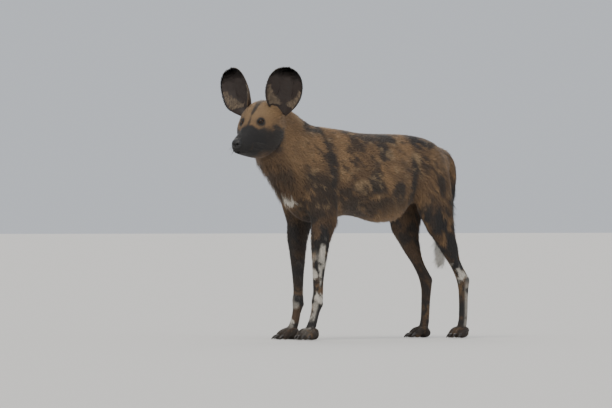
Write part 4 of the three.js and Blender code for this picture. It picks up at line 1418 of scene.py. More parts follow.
class Skin:
    """The one skin of head, neck, trunk, tail, legs and feet."""

    def __init__(self) -> None:
        """Fuses the body's shells, then smooths and models the surface."""
        shells = [trunk_shell(-BODY_COAT), head_shell(-HEAD_COAT), tube(TAIL, 24, 60, -TAIL_COAT)]
        for leg in LEGS:
            shells += [leg.shell(-LEG_COAT)] + leg.foot().shells()
        shell = welded(join(shells).put("raw_skin"), VOXEL)
        edges = edges_of(shell.quads)
        points = shell.points
        ones = np.ones(len(points))
        for _ in range(6):
            points = relax(points, edges, 0.5 * ones, 1)
            points = relax(points, edges, -0.52 * ones, 1)
        points = relax(points, edges, 0.5 * self._joins(points), 60)
        self.tris = triangles(shell)
        self.shell = Shell(self._models(points), shell.quads)
        self.normals = normals_of(self.shell.points, self.tris)
        self.atlas = Atlas(self.shell.points)
        log.info("skin: %d points, %d triangles", len(points), len(self.tris))

    @staticmethod
    def _joins(points: Array) -> Array:
        """Weighs the places where legs, neck, head and tail run into the trunk.

        Args:
            points: Places on the raw skin.

        Returns:
            A share from 0 to 1 for each place.
        """
        weight = sum(near(points, *row) for row in JOINS)
        head = HeadFrame.into(points)
        nape = np.exp(-((head[:, 0] - 0.232) / 0.022) ** 2)
        weight = weight + nape * (np.abs(head[:, 1]) < 0.1) * (points[:, 0] < -0.3)
        return np.clip(weight, 0, 1)

    def _models(self, points: Array) -> Array:
        """Raises muscles and bones, sinks the toes' clefts and opens the skin over the eyes.

        Args:
            points: The smoothed skin.

        Returns:
            The modelled skin.
        """
        push = bumps(folded(points), BODY_FORMS)
        for leg in LEGS:
            push += leg.foot().clefts(points)
        for leg in LEGS:
            push += bumps(points, leg.bones())
        points = points + normals_of(points, self.tris) * push[:, None]
        for eye in EYES:
            far = np.linalg.norm(points - eye.centre, axis=1)
            inside = eye.within(points, 1.1) & (far < 0.022)
            ray = unit(points - eye.centre)
            arc = np.arccos(np.clip(ray @ eye.look, -1, 1)) * EYE_RADIUS
            mound = (1 - ease(arc, 0.012, 0.021)) * (far < 0.024)
            lifted = np.maximum(far, far + mound * (EYE_RADIUS + 0.0012 - far))
            points = eye.centre + ray * lifted[:, None]
            points = np.where(inside[:, None], eye.centre + ray * (EYE_RADIUS - 0.0032), points)
        return points

    def put(self) -> Thing:
        """Makes the skin's object with its colours, darkened by painted shade of the coat's depth, and
        its lie.

        Returns:
            The object.
        """
        thing = self.shell.put("skin")
        # Painted shade: the skin seen between the tufts takes 0.55 of the coat's colour, as the coat
        # shades it; under the white tail brush it takes 0.85.
        under = np.where(self.atlas.region == Region.TAIL.value, 0.85, 0.55)
        set_colour(thing, Markings(self.atlas).colours() * under[:, None])
        set_vector(thing, "lie", self.atlas.lie(self.normals))
        return thing

    def roots(self, density: Array, seed: int) -> tuple[Array, Array]:
        """Scatters roots over the skin, evenly by area and a density for each point.

        Args:
            density: Roots for each square metre, at each point of the skin.
            seed: Seed of the scatter.

        Returns:
            Places and unit normals.
        """
        rng = np.random.default_rng(seed)
        a, b, c = (self.shell.points[self.tris[:, k]] for k in range(3))
        area = np.linalg.norm(np.cross(b - a, c - a), axis=1) / 2
        total = np.cumsum(area * density[self.tris].mean(1))
        picked = np.searchsorted(total, np.arange(0.5, total[-1], 1.0))
        u, v = rng.random(len(picked)), rng.random(len(picked))
        over = u + v > 1
        u, v = np.where(over, 1 - u, u), np.where(over, 1 - v, v)
        share = np.stack([1 - u - v, u, v], -1)[..., None]
        corners = self.tris[picked]
        places = (self.shell.points[corners] * share).sum(1)
        return places, unit((self.normals[corners] * share).sum(1))


BAKE_PATCH = 0.0015  # half the side of a tuft's patch on the bake map


class Blade(Enum):
    """A tuft's form: corners as across, along and crest shares, faces and shading."""

    SHORT = (
        ((-1, 0, 0), (1, 0, 0), (0, 0, 1), (0, 1, 0)),
        ((0, 2, 1), (0, 1, 3), (1, 2, 3), (2, 0, 3)),
        (0, 0, 0.2, 1),
        (0.7, 0.7, 0.75, 1.15),
    )
    LONG = (
        ((-1, 0, 0), (1, 0, 0), (0, 0, 1), (-0.8, 0.5, 0), (0.8, 0.5, 0), (0, 0.5, 1), (0, 1, 0)),
        ((0, 2, 1), (0, 1, 4), (0, 4, 3), (1, 2, 5), (1, 5, 4), (2, 0, 3), (2, 3, 5),
         (3, 4, 6), (4, 5, 6), (5, 3, 6)),
        (0, 0, 0.1, 0.5, 0.5, 0.6, 1),
        (0.6, 0.6, 0.64, 0.92, 0.92, 0.96, 1.1),
    )


@dataclass
class Coat:
    """Tufts of one piece: where they root, how they lie, and their sizes and colours."""

    roots: Array
    normals: Array
    lie: Array
    length: Array
    width: Array
    lift: Array
    colour: Array
    patch: Array
    blade: Blade = Blade.LONG
    seed: int = 1

    def build(self, name: str) -> Thing:
        """Builds the tufts: each a flat blade, closed, that bends down on to the coat.

        A long blade runs from a root triangle through a middle one to a tip; a short one from
        the root straight to its tip. Height above the skin rises with the lift's sine, and the
        blade's second half leans back towards the lie.

        Args:
            name: The object's name.

        Returns:
            The object with its colours and bake map.
        """
        rng = np.random.default_rng(self.seed)
        count = len(self.roots)
        stray = rng.normal(0, 1, (count, 2))
        flow = unit(self.lie + unit(np.cross(self.normals, self.lie)) * (0.2 * stray[:, :1]))
        across = unit(np.cross(self.normals, flow))
        lift = self.lift * (1 + 0.3 * np.clip(stray[:, 1], -2, 2))
        length = (self.length * rng.uniform(0.75, 1.2, count))[:, None]
        width = (self.width * rng.uniform(0.75, 1.25, count))[:, None]
        up = np.cross(flow, across)
        up = up * np.sign(np.einsum("ij,ij->i", up, self.normals))[:, None]
        rise, low = (
            length * (np.cos(bend)[:, None] * flow + np.sin(bend)[:, None] * self.normals)
            for bend in (lift, 0.25 * lift)
        )
        base = self.roots - self.normals * (0.0008 + 0.06 * length)
        middle = base + 0.5 * rise
        tip = middle + 0.3 * rise + 0.26 * low + across * (0.1 * stray[:, :1] * length)
        form, faces, height, shade = (np.array(part) for part in self.blade.value)
        stations = {0.0: base, 0.5: middle, 1.0: tip}
        half, crest = across * (width / 2), up * (width * 0.28)
        corners = np.stack([stations[t] + side * half + top * crest for side, t, top in form], 1)
        each = len(form)
        tris = (faces[None] + np.arange(count)[:, None, None] * each).reshape(-1, 3)
        shell = Shell(corners.reshape(-1, 3), tris=tris)
        if enclosed(shell) < 0:
            shell = flipped(shell)
        thing = shell.put(name)
        tone = self.colour * rng.uniform(0.8, 1.2, (count, 1))
        set_colour(thing, (tone[:, None] * shade[None, :, None]).reshape(-1, 3))
        spots = np.column_stack([form[:, 0], height])
        spread = self.patch[:, None] + BAKE_PATCH * spots[None] * np.array([0.9, 1.0])
        set_bake_map(thing, np.clip(spread.reshape(-1, 2), 0.0, 1.0))
        soft_shading(thing, np.repeat(self.normals, each, axis=0))
        log.info("%s: %d tufts, %d triangles", name, count, len(tris))
        return thing


def soft_shading(thing: Thing, normals: Array) -> None:
    """Leans the blades' shading towards the skin's own normals, as a dense coat scatters light.

    Args:
        thing: A coat piece.
        normals: The skin's unit normal for each of its points.
    """
    mesh = thing.data
    own = np.zeros(len(mesh.vertices) * 3, np.float32)
    mesh.vertex_normals.foreach_get("vector", own)
    mesh.normals_split_custom_set_from_vertices(unit(0.45 * own.reshape(-1, 3) + 0.75 * normals))


def islands(atlas: Atlas) -> Array:
    """Lays the regions' unwraps side by side in the unit square, for the bake map.

    Args:
        atlas: Places sorted by region.

    Returns:
        Two map values for each place.
    """
    run, share = atlas.unwrap()
    lengths = np.array([1.0, 0.45, 0.32, 0.52, 0.52, 0.52, 0.52, 0.52])
    u = np.clip((run + 0.02) / lengths[atlas.region], 0.01, 0.99)
    return np.stack([np.clip(share, 0.005, 0.995), (atlas.region + u) / len(lengths)], -1)


class CoatMap:
    """Lengths, widths, lifts and densities of the coat over the body."""

    def __init__(self, atlas: Atlas) -> None:
        """Works out the coat's length at every place.

        Args:
            atlas: The places, sorted by region.
        """
        self.atlas = atlas
        x, _, z = atlas.points.T
        u, _, w = atlas.head.T
        region = atlas.region
        trunk = 0.015 + 0.004 * ease(-z, -0.46, -0.38) * ease(x, -0.25, -0.1)
        trunk = trunk + 0.012 * near(atlas.points, -0.19, 0.06, 0.395, 0.045)
        trunk = trunk + 0.014 * near(atlas.points, 0.08, 0.05, 0.385, 0.06)
        trunk = trunk + 0.006 * ease(x, 0.22, 0.3)
        throat = 1 - ease(z + 0.9 * (x + 0.43), 0.52, 0.62)
        throat = throat * (1 - ease(x, -0.33, -0.25))
        head = 0.0036 + 0.003 * ease(u, 0.05, 0.12) + 0.006 * ease(u, 0.13, 0.2)
        head = head + 0.014 * ease(u, 0.12, 0.2) * ease(-w, 0.0, 0.06)
        leg = 0.0065 + 0.007 * ease(z, 0.18, 0.36)
        rear = (region >= Region.HIND_LEFT.value) & (x > 0.235)
        leg = leg + 0.01 * rear * ease(z, 0.26, 0.38)
        elbow = (region >= Region.FORE_LEFT.value) & (region <= Region.FORE_RIGHT.value) & (x > -0.26)
        leg = leg + 0.007 * elbow * ease(z, 0.18, 0.34)
        leg = np.where(z < 0.055, 0.0048, leg)
        brush = 0.016 + 0.03 * ease(atlas.tail_share, 0.25, 0.6)
        brush = brush - 0.006 * ease(atlas.tail_share, 0.8, 1.0)
        out = np.where(region == Region.NECK.value, 0.018 + 0.018 * throat, trunk)
        out = np.where(region == Region.HEAD.value, head, out)
        out = np.where(region == Region.TAIL.value, brush, out)
        self.length = np.where(region >= Region.FORE_LEFT.value, leg, out)

    def density(self) -> Array:
        """Works out how dense the coat is: the shorter the hair, the denser.

        Returns:
            Roots for each square metre, at each place.
        """
        base = 105000.0 * (0.016 / self.length) ** 1.15
        base = np.where(self.atlas.region == Region.TAIL.value, 300000.0, base)
        return np.clip(base, 42000.0, 420000.0)

    def width(self) -> Array:
        """Gives blade widths that grow with length."""
        return 0.0007 + 0.07 * self.length * np.clip(1.3 - self.length / 0.05, 0.5, 1.2)

    def lift(self) -> Array:
        """Works out how far the blades stand off.

        Returns:
            Radians for each place.
        """
        body = 0.3 + 0.1 * ease(self.length, 0.018, 0.035)
        brush = 0.2 + 0.12 * ease(self.atlas.tail_share, 0.5, 0.7)
        return np.where(self.atlas.region == Region.TAIL.value, brush, body)


FLANK_SPLIT = -0.05  # where each side's coat is parted in two pieces
SHORT_COAT = 0.0095  # hair below this length is put in the short pieces


def dress(skin: Skin, material: Material) -> None:
    """Covers the skin with its coat, in pieces by region.

    Args:
        skin: The skin.
        material: The coat's material.
    """
    points = skin.shell.points
    density = CoatMap(skin.atlas).density() * COAT_SHARE
    for eye in EYES:
        before = np.linalg.norm(points - eye.centre, axis=1) < 0.025
        density = density * ~(eye.within(points, 1.22) & before)
    head = skin.atlas.head
    nose = (head[:, 0] < 0.02) & (head[:, 2] > -0.013)
    density = np.where(nose | (points[:, 2] < 0.004), 0.0, density)
    roots, normals = skin.roots(density, 11)
    atlas = Atlas(roots)
    spec = CoatMap(atlas)
    x, y, _ = roots.T
    region, short = atlas.region, spec.length < SHORT_COAT
    trunk, face = region == Region.TRUNK.value, region == Region.HEAD.value
    groups = {}
    for part, mine in (("shoulder", x < FLANK_SPLIT), ("flank", x >= FLANK_SPLIT)):
        groups[f"coat_{part}_left"] = trunk & (y < 0) & mine & ~short
        groups[f"coat_{part}_right"] = trunk & (y >= 0) & mine & ~short
    groups["coat_neck"] = (region == Region.NECK.value) & ~short
    groups["coat_cheeks"] = face & ~short
    groups["coat_face"] = face & short
    groups["coat_tail"] = region == Region.TAIL.value
    for leg, part in zip(LEGS, LEG_REGIONS):
        groups[f"coat_{leg.name}"] = (region == part.value) & ~short
        groups[f"coat_lower_{leg.name}"] = (region == part.value) & short
    values = [
        roots, normals, atlas.lie(normals), spec.length, spec.width(), spec.lift(),
        Markings(atlas).colours(), islands(atlas),
    ]
    for seed, (name, mine) in enumerate(groups.items(), 20):
        close = name == "coat_face" or name.startswith("coat_lower")
        blade = Blade.SHORT if close else Blade.LONG
        piece = Coat(*(value[mine] for value in values), blade, seed).build(name)
        place_piece(piece, material)


# The ear by share of its height: half width, half the cup's angle in degrees
EAR = np.array([
    [-0.2, 0.02, 100], [-0.05, 0.036, 96], [0.12, 0.05, 82], [0.3, 0.0575, 66],
    [0.5, 0.0585, 56], [0.68, 0.054, 49], [0.82, 0.045, 43], [0.92, 0.032, 37],
    [0.98, 0.017, 33], [1.0, 0.007, 31],
])


@dataclass(frozen=True)
class EarHair:
    """One kind of an ear's hair."""

    name: str
    count: int
    length: float
    lift: float
    tone: tuple[float, float, float]
    outside: bool


EAR_HAIR = (
    EarHair("outer", 10000, 0.0065, 0.24, (0.05, 0.034, 0.024), True),
    EarHair("rim", 1900, 0.006, 0.3, (0.24, 0.17, 0.11), True),
    EarHair("inner", 5600, 0.005, 0.28, (0.04, 0.026, 0.02), False),
    EarHair("fringe", 850, 0.009, 0.62, (0.4, 0.3, 0.2), False),
)
FRINGE_TOP = 0.46  # share of the ear's height that the pale fringe reaches


@dataclass
class Ear:
    """One ear: a cupped leaf from a table, its hollow turned out and forward."""

    side: int

    def world(self, points: Array) -> Array:
        """Takes the ear's own places to the body's frame.

        Args:
            points: Places from the ear's root, z up the ear.

        Returns:
            Places in the body's frame.
        """
        lean, swing = turn("X", -self.side * EAR_LEAN), turn("Z", -self.side * EAR_TURN)
        turned = lean @ turn("Y", EAR_TILT) @ swing
        return HeadFrame.out(points @ turned.T + EAR_ROOT * np.array([1, self.side, 1]))

    def sheet(self, k: Array, across: Array, depth: Array) -> Array:
        """Gives a place of the cup: an arc at each height, drawn in by a depth.

        Args:
            k: Share of the height.
            across: -1 to 1 from edge to edge.
            depth: Metres inside the outer face.

        Returns:
            Places in the body's frame.
        """
        at = along(EAR, k.ravel()).reshape(*k.shape, 2)
        cup = np.radians(at[..., 1])
        radius = at[..., 0] / np.sin(np.minimum(cup, math.pi / 2))
        angle = cup * across
        x = 0.016 - 0.026 * k * k - radius + (radius - depth) * np.cos(angle)
        own = np.stack([x, (radius - depth) * np.sin(angle), k * EAR_LENGTH], -1)
        return self.world(own.reshape(-1, 3)).reshape(*k.shape, 3)

    def inner(self, k: Array, across: Array) -> Array:
        """Gives the inner face's depth: the thickness, with the cartilage's long ridges."""
        ridge = np.cos(across * 9.0) * np.exp(-((k - 0.25) / 0.28) ** 2) * np.cos(across * 1.4)
        return 0.004 * (1 - 0.5 * np.maximum(k, 0)) + 0.0011 * ridge

    def shell(self) -> Shell:
        """Builds the leaf as loops: over the outer face, round the edge, back over the inner.

        Returns:
            The closed leaf.
        """
        k = np.concatenate([np.linspace(-0.2, 0.9, 56), np.linspace(0.91, 0.999, 10)])
        even = np.linspace(-1, 1, 49)
        across = np.sin(even * math.pi / 2) * 0.5 + even * 0.5
        grid_k, grid_a = np.meshgrid(k, across, indexing="ij")
        outer = self.sheet(grid_k, grid_a, 0.0012 + 0 * grid_k)
        inner = self.sheet(grid_k, grid_a * 0.985, self.inner(grid_k, grid_a))
        rings = np.concatenate([outer, inner[:, ::-1]], axis=1)
        rows, sides = rings.shape[:2]
        ids = np.arange(rows * sides).reshape(rows, sides)
        following = np.roll(ids, -1, 1)
        quads = [np.stack([ids[:-1], following[:-1], following[1:], ids[1:]], -1).reshape(-1, 4)]
        half = sides // 2
        for row, order in ((ids[0], 1), (ids[-1], -1)):
            back = row[::-1]
            cap = np.stack([row[:half - 1], back[:half - 1], back[1:half], row[1:half]], -1)
            quads.append(cap[:, ::order])
        shell = Shell(rings.reshape(-1, 3), np.vstack(quads))
        return shell if enclosed(shell) > 0 else flipped(shell)

    def _tufts(self, hair: EarHair, rng: np.random.Generator) -> list[Array]:
        """Scatters one kind of hair over its face of the ear.

        Args:
            hair: The kind.
            rng: The ear's random numbers.

        Returns:
            Roots, normals, lie, lengths, widths, lifts, colours and map places.
        """
        count = int(hair.count * COAT_SHARE)
        fringe, rim = hair.name == "fringe", hair.name == "rim"
        k, across = rng.uniform(-0.02, 0.99, count), rng.uniform(-1, 1, count)
        if rim:
            across = np.sign(across) * (1 - 0.05 * rng.random(count))
        if fringe:
            k = FRINGE_TOP * rng.random(count) ** 1.7
            front = rng.random(count) < 0.62
            band = 0.16 + 0.62 * (1 - k / FRINGE_TOP) ** 1.5
            across = np.where(front, -self.side, self.side) * (1 - band * rng.random(count) ** 0.9)
        depth = 0.0014 + 0 * k if hair.outside else self.inner(k, across) - 0.0003
        at = self.sheet(k, across, depth)
        step = 0.004
        above = self.sheet(np.minimum(k + step, 1), across, depth)
        upward = unit(above - self.sheet(k - step, across, depth))
        sideways = unit(self.sheet(k, across + step, depth) - self.sheet(k, across - step, depth))
        normal = unit(np.cross(upward, sideways))
        outward = unit(at - self.sheet(k, across, depth + 0.002))
        facing = np.sign(np.einsum("ij,ij->i", normal, outward))
        normal = normal * (facing if hair.outside else -facing)[:, None]
        bend = 1.1 if rim else -0.8 if fringe else 0.0
        lie = unit(upward + bend * sideways * np.sign(across)[:, None])
        tone, length = np.tile(np.array(hair.tone), (count, 1)), np.full(count, hair.length)
        if hair.name == "outer":
            tan = ease(0.45 - k + 0.2 * rough_noise(at, 0.02, 201), 0.0, 0.25)
            tone = blend(tone, np.array(Tone.TAN.value) * 0.8, tan)
        if fringe:
            length = length + 0.012 * rng.random(count) * (1 - 0.7 * k / FRINGE_TOP)
            tone = tone * rng.uniform(0.12, 0.9, (count, 1))
        u = (0.24 if hair.outside else 0.74) + 0.22 * across
        patch = np.stack([u, 0.03 + 0.9 * np.clip(k, 0, 1)], -1)
        width, lift = np.full(count, 0.001), np.full(count, hair.lift)
        return [at, normal, lie, length, width, lift, tone, patch]

    def coat(self, name: str) -> Thing:
        """Covers the ear: short dark hair outside and in, a paler rim and a pale fringe low down.

        Args:
            name: The object's name.

        Returns:
            The ear's coat.
        """
        rng = np.random.default_rng(60 + self.side)
        parts = [self._tufts(hair, rng) for hair in EAR_HAIR]
        return Coat(*map(np.concatenate, zip(*parts)), seed=90 + self.side).build(name)


NOSE = np.array([
    [-0.004, 0.009, -0.006, 0.001, 0.009, 2.3, 2.3],
    [-0.001, 0.014, -0.01, 0.002, 0.014, 2.3, 2.3],
    [0.005, 0.0175, -0.012, 0.003, 0.017, 2.3, 2.3],
    [0.012, 0.019, -0.011, 0.004, 0.0175, 2.3, 2.3],
    [0.019, 0.019, -0.008, 0.006, 0.014, 2.3, 2.3],
    [0.023, 0.017, 0.0, 0.009, 0.006, 2.3, 2.3],
])
NOSTRIL = np.array([
    [-0.006, 0.0058, 0.003, 0.0036, 0.006], [-0.002, 0.0085, 0.0028, 0.0032, 0.0048],
    [0.001, 0.0115, 0.0013, 0.0026, 0.0042], [0.004, 0.0142, -0.0004, 0.0022, 0.0036],
    [0.008, 0.0165, -0.0018, 0.0018, 0.0028],
])


def nose_shell() -> Shell:
    """Builds the nose pad: a domed front, squared ovals back, nostrils and the middle furrow.

    Each nostril is a row of Gaussian hollows that shrinks as it curls out and back.

    Returns:
        The closed pad.
    """
    angle = around(160)
    keys = np.concatenate([np.linspace(-0.004, 0.012, 44), np.linspace(0.0125, 0.023, 16)])
    side, level, _ = section(NOSE, keys, angle, 0.0)
    body = np.stack([np.broadcast_to(keys[:, None], side.shape), side, level], -1)
    share = np.linspace(0.04, 0.97, 26)[:, None]
    middle = NOSE[0, 3]
    front = np.stack([
        np.broadcast_to(-0.004 - 0.0016 * (1 - share**2), (26, 160)),
        side[0][None] * share,
        middle + (level[0] - middle)[None] * share,
    ], -1)
    rings = np.concatenate([front, body])
    flat = rings.reshape(-1, 3)
    x, y, z = folded(flat).T
    inward = unit(np.array([0.01, 0.0, 0.002]) - flat)
    inward[:, 0] += 0.6
    depth = np.zeros(len(flat))
    for at_x, at_y, at_z, reach, deep in NOSTRIL:
        far = np.linalg.norm(np.stack([0.8 * (x - at_x), y - at_y, z - at_z], -1), axis=1) / reach
        depth = np.maximum(depth, deep * np.exp(-far**4))
    furrow = 0.0016 * np.exp(-(y / 0.0009) ** 2) * (z < 0.004) * (x < 0.004)
    wing = 0.0007 * np.exp(-(np.hypot(y - 0.0095, z - 0.0065) / 0.004) ** 2)
    moved = flat + unit(inward) * (np.maximum(depth, furrow) - wing)[:, None]
    return loft(HeadFrame.out(moved).reshape(rings.shape))


MOUTH_CORNER = 0.096


def mouth_level(back: Array) -> Array:
    """Gives the mouth line's height: it drops towards the corner with a slight sag."""
    share = back / MOUTH_CORNER
    return -0.022 - 0.017 * share - 0.003 * np.sin(np.pi * share)


def lips_shell(side: int) -> Shell:
    """Builds one side's lips: two soft rolls along the mouth line with the gape between them.

    Args:
        side: 1 for the animal's left in the head's frame, -1 for its right.

    Returns:
        A closed band, sunk in the skin along both borders.
    """
    back = np.linspace(0.004, MOUTH_CORNER, 90)
    profile = np.array([
        [0.0068, -0.003], [0.0052, -0.0004], [0.0036, 0.0008], [0.002, 0.0011], [0.0008, 0.0003],
        [0.0001, -0.0022], [-0.0006, 0.0], [-0.0018, 0.0006], [-0.0034, 0.0004], [-0.005, -0.0008],
        [-0.0064, -0.003], [-0.003, -0.005], [0.003, -0.005],
    ])
    at = along(HEAD, back)
    fade = (1 - ease(back, MOUTH_CORNER - 0.014, MOUTH_CORNER + 0.001))[:, None]
    level = mouth_level(back)[:, None] + profile[None, :, 0] * (0.35 + 0.65 * fade)
    half, low = at[:, 3][:, None] - HEAD_COAT, (at[:, 2] - at[:, 1])[:, None] - HEAD_COAT
    sine = np.clip((at[:, 2][:, None] - level) / low, 0, 0.98)
    out = half * (1 - sine ** at[:, 5][:, None]) ** (1 / at[:, 5][:, None])
    push = 0.002 * np.exp(-(((back[:, None] - 0.038) / 0.018) ** 2 + ((level + 0.014) / 0.018) ** 2))
    relief = profile[None, :, 1]
    out = out + push + 0.001 + relief * np.where(relief > 0, 0.3 + 0.7 * fade, 1)
    rings = np.stack([np.broadcast_to(back[:, None], out.shape), side * out, level], -1)
    return loft(HeadFrame.out(rings.reshape(-1, 3)).reshape(rings.shape))


def whiskers() -> Shell:
    """Builds the whiskers: fine tapering blades in four rows on each upper lip.

    Returns:
        All the whiskers in one shell.
    """
    rng = np.random.default_rng(7)
    drift = np.array([0.004, 0, -0.004])
    shells = []
    for side, row, k in product((1, -1), range(4), range(5)):
        back = 0.026 + 0.009 * k + 0.003 * row
        level = -0.004 - 0.006 * row
        at = along(HEAD, np.array([back]))[0]
        out = at[3] * (1 - abs((at[2] - level) / (at[2] - at[1])) ** at[5]) ** (1 / at[5])
        root = np.array([back, side * (out - 0.004), level])
        way = unit(np.array([0.55, side * 0.75, -0.2 - 0.08 * row]) + rng.normal(0, 0.08, 3))
        size = rng.uniform(0.024, 0.042)
        path = np.array([
            [*(root + way * size * s + drift * s * s), 0.00028 * (1.05 - s)]
            for s in (0, 0.25, 0.5, 0.75, 1.0)
        ])
        shell = tube(path, 5, 7)
        shell.points = HeadFrame.out(shell.points)
        shells.append(shell)
    return join(shells)


class Nodes:
    """Builds a shader tree by short calls."""

    def __init__(self, tree: bpy.types.NodeTree) -> None:
        """Keeps the tree that later calls add to."""
        self.tree = tree

    def add(self, kind: str, **settings: object) -> bpy.types.Node:
        """Adds a node and sets its properties.

        Args:
            kind: The node's type name.
            **settings: Properties by name.

        Returns:
            The node.
        """
        node = self.tree.nodes.new(kind)
        for name, value in settings.items():
            setattr(node, name, value)
        return node

    def link(self, source: Socket, target: Socket) -> None:
        """Connects two sockets."""
        self.tree.links.new(source, target)

    def math(self, operation: str, *terms: object) -> Socket:
        """Adds a math node.

        Args:
            operation: What it does.
            *terms: Numbers or sockets.

        Returns:
            Its value.
        """
        node = self.add("ShaderNodeMath", operation=operation)
        for k, term in enumerate(terms):
            if isinstance(term, (int, float)):
                node.inputs[k].default_value = term
            else:
                self.link(term, node.inputs[k])
        return node.outputs[0]

    def noise(self, vector: Socket, scale: float, detail: float) -> Socket:
        """Adds a noise texture.

        Args:
            vector: Where it is read.
            scale: Its scale.
            detail: Its octaves.

        Returns:
            Its factor.
        """
        node = self.add("ShaderNodeTexNoise")
        node.inputs["Scale"].default_value = scale
        node.inputs["Detail"].default_value = detail
        self.link(vector, node.inputs["Vector"])
        return node.outputs["Fac"]

    def ramp(self, factor: Socket, *spans: float) -> Socket:
        """Maps a span of a value on to another span, clamped.

        Args:
            factor: The value.
            *spans: Low and high of the first span, then of the second.

        Returns:
            The mapped value.
        """
        node = self.add("ShaderNodeMapRange")
        for name, value in zip(("From Min", "From Max", "To Min", "To Max"), spans):
            node.inputs[name].default_value = value
        self.link(factor, node.inputs["Value"])
        return node.outputs["Result"]

    def scaled(self, colour: Socket, factor: Socket) -> Socket:
        """Multiplies a colour or vector by a value.

        Args:
            colour: The colour or vector.
            factor: The value.

        Returns:
            The product.
        """
        node = self.add("ShaderNodeVectorMath", operation="SCALE")
        self.link(colour, node.inputs[0])
        self.link(factor, node.inputs["Scale"])
        return node.outputs[0]

    def bump(self, height: Socket, distance: float) -> Socket:
        """Adds a bump node over a height.

        Args:
            height: The height.
            distance: How far its full height stands out, in metres.

        Returns:
            The normal.
        """
        node = self.add("ShaderNodeBump")
        node.inputs["Distance"].default_value = distance
        self.link(height, node.inputs["Height"])
        return node.outputs["Normal"]


def streak_group() -> bpy.types.NodeTree:
    """Makes the shared group of hair streaks: noise drawn out along the stored lie.

    Returns:
        A group with a scale input and outputs for a brightness factor and a height.
    """
    tree = bpy.data.node_groups.new("HairStreaks", "ShaderNodeTree")
    tree.interface.new_socket("Scale", in_out="INPUT", socket_type="NodeSocketFloat")
    tree.interface.new_socket("Factor", in_out="OUTPUT", socket_type="NodeSocketFloat")
    tree.interface.new_socket("Height", in_out="OUTPUT", socket_type="NodeSocketFloat")
    n = Nodes(tree)
    entry, leave = n.add("NodeGroupInput"), n.add("NodeGroupOutput")
    place = n.add("ShaderNodeTexCoord").outputs["Object"]
    lie = n.add("ShaderNodeAttribute", attribute_name="lie").outputs["Vector"]
    dot = n.add("ShaderNodeVectorMath", operation="DOT_PRODUCT")
    n.link(place, dot.inputs[0])
    n.link(lie, dot.inputs[1])
    back = n.scaled(lie, n.math("MULTIPLY", dot.outputs["Value"], 0.88))
    flat = n.add("ShaderNodeVectorMath", operation="SUBTRACT")
    n.link(place, flat.inputs[0])
    n.link(back, flat.inputs[1])
    sized = n.scaled(flat.outputs[0], entry.outputs["Scale"])
    fine = n.noise(sized, 1.0, 4.0)
    n.link(n.ramp(fine, 0.3, 0.7, 0.65, 1.3), leave.inputs["Factor"])
    n.link(fine, leave.inputs["Height"])
    return tree


@dataclass(frozen=True)
class Finish:
    """A finish: base colour where it isn't stored on the mesh, roughness and relief."""

    name: str
    colour: tuple[float, float, float]
    roughness: float
    relief: float
    grain: float
    sheen: float = 0.0
    wet: float = 0.0


SKIN_FINISH = Finish("CoatUnder", (0.1, 0.06, 0.04), 0.75, 0.001, 520.0)
COAT_FINISH = Finish("CoatHair", (0.1, 0.06, 0.04), 0.58, 0.0, 260.0, sheen=0.08)
NOSE_FINISH = Finish("NoseLeather", (0.009, 0.008, 0.008), 0.5, 0.00045, 900.0, wet=0.08)
LID_FINISH = Finish("LidSkin", (0.009, 0.008, 0.007), 0.7, 0.0002, 1200.0)
EAR_FINISH = Finish("EarSkin", (0.034, 0.023, 0.019), 0.66, 0.00035, 420.0)
CLAW_FINISH = Finish("ClawHorn", (0.03, 0.024, 0.02), 0.4, 0.00015, 300.0)
WHISKER_FINISH = Finish("Whisker", (0.03, 0.025, 0.022), 0.45, 0.0, 300.0)
EYE_FINISH = Finish("EyeGlass", (0.05, 0.02, 0.01), 0.2, 0.0, 1.0, wet=0.3)

# The eye's colours by the angle from the pupil's middle
IRIS = (
    (0.0, (0.002, 0.002, 0.002)), (0.25, (0.002, 0.002, 0.002)), (0.28, (0.014, 0.006, 0.003)),
    (0.42, (0.052, 0.023, 0.008)), (0.62, (0.03, 0.013, 0.005)), (0.72, (0.004, 0.003, 0.002)),
    (0.8, (0.02, 0.013, 0.01)), (1.0, (0.04, 0.027, 0.022)),
)


def surface(finish: Finish) -> tuple[Material, Nodes, bpy.types.Node]:
    """Makes a material with one Principled surface and sets the finish's constants.

    Args:
        finish: The finish.

    Returns:
        The material, its node helper and the Principled node.
    """
    material = bpy.data.materials.new(finish.name)
    material.use_nodes = True
    n = Nodes(material.node_tree)
    shader = material.node_tree.nodes["Principled BSDF"]
    shader.inputs["Base Color"].default_value = (*finish.colour, 1.0)
    shader.inputs["Roughness"].default_value = finish.roughness
    shader.inputs["Sheen Weight"].default_value = finish.sheen
    shader.inputs["Sheen Roughness"].default_value = 0.5
    shader.inputs["Coat Weight"].default_value = finish.wet
    shader.inputs["Coat Roughness"].default_value = 0.25
    return material, n, shader


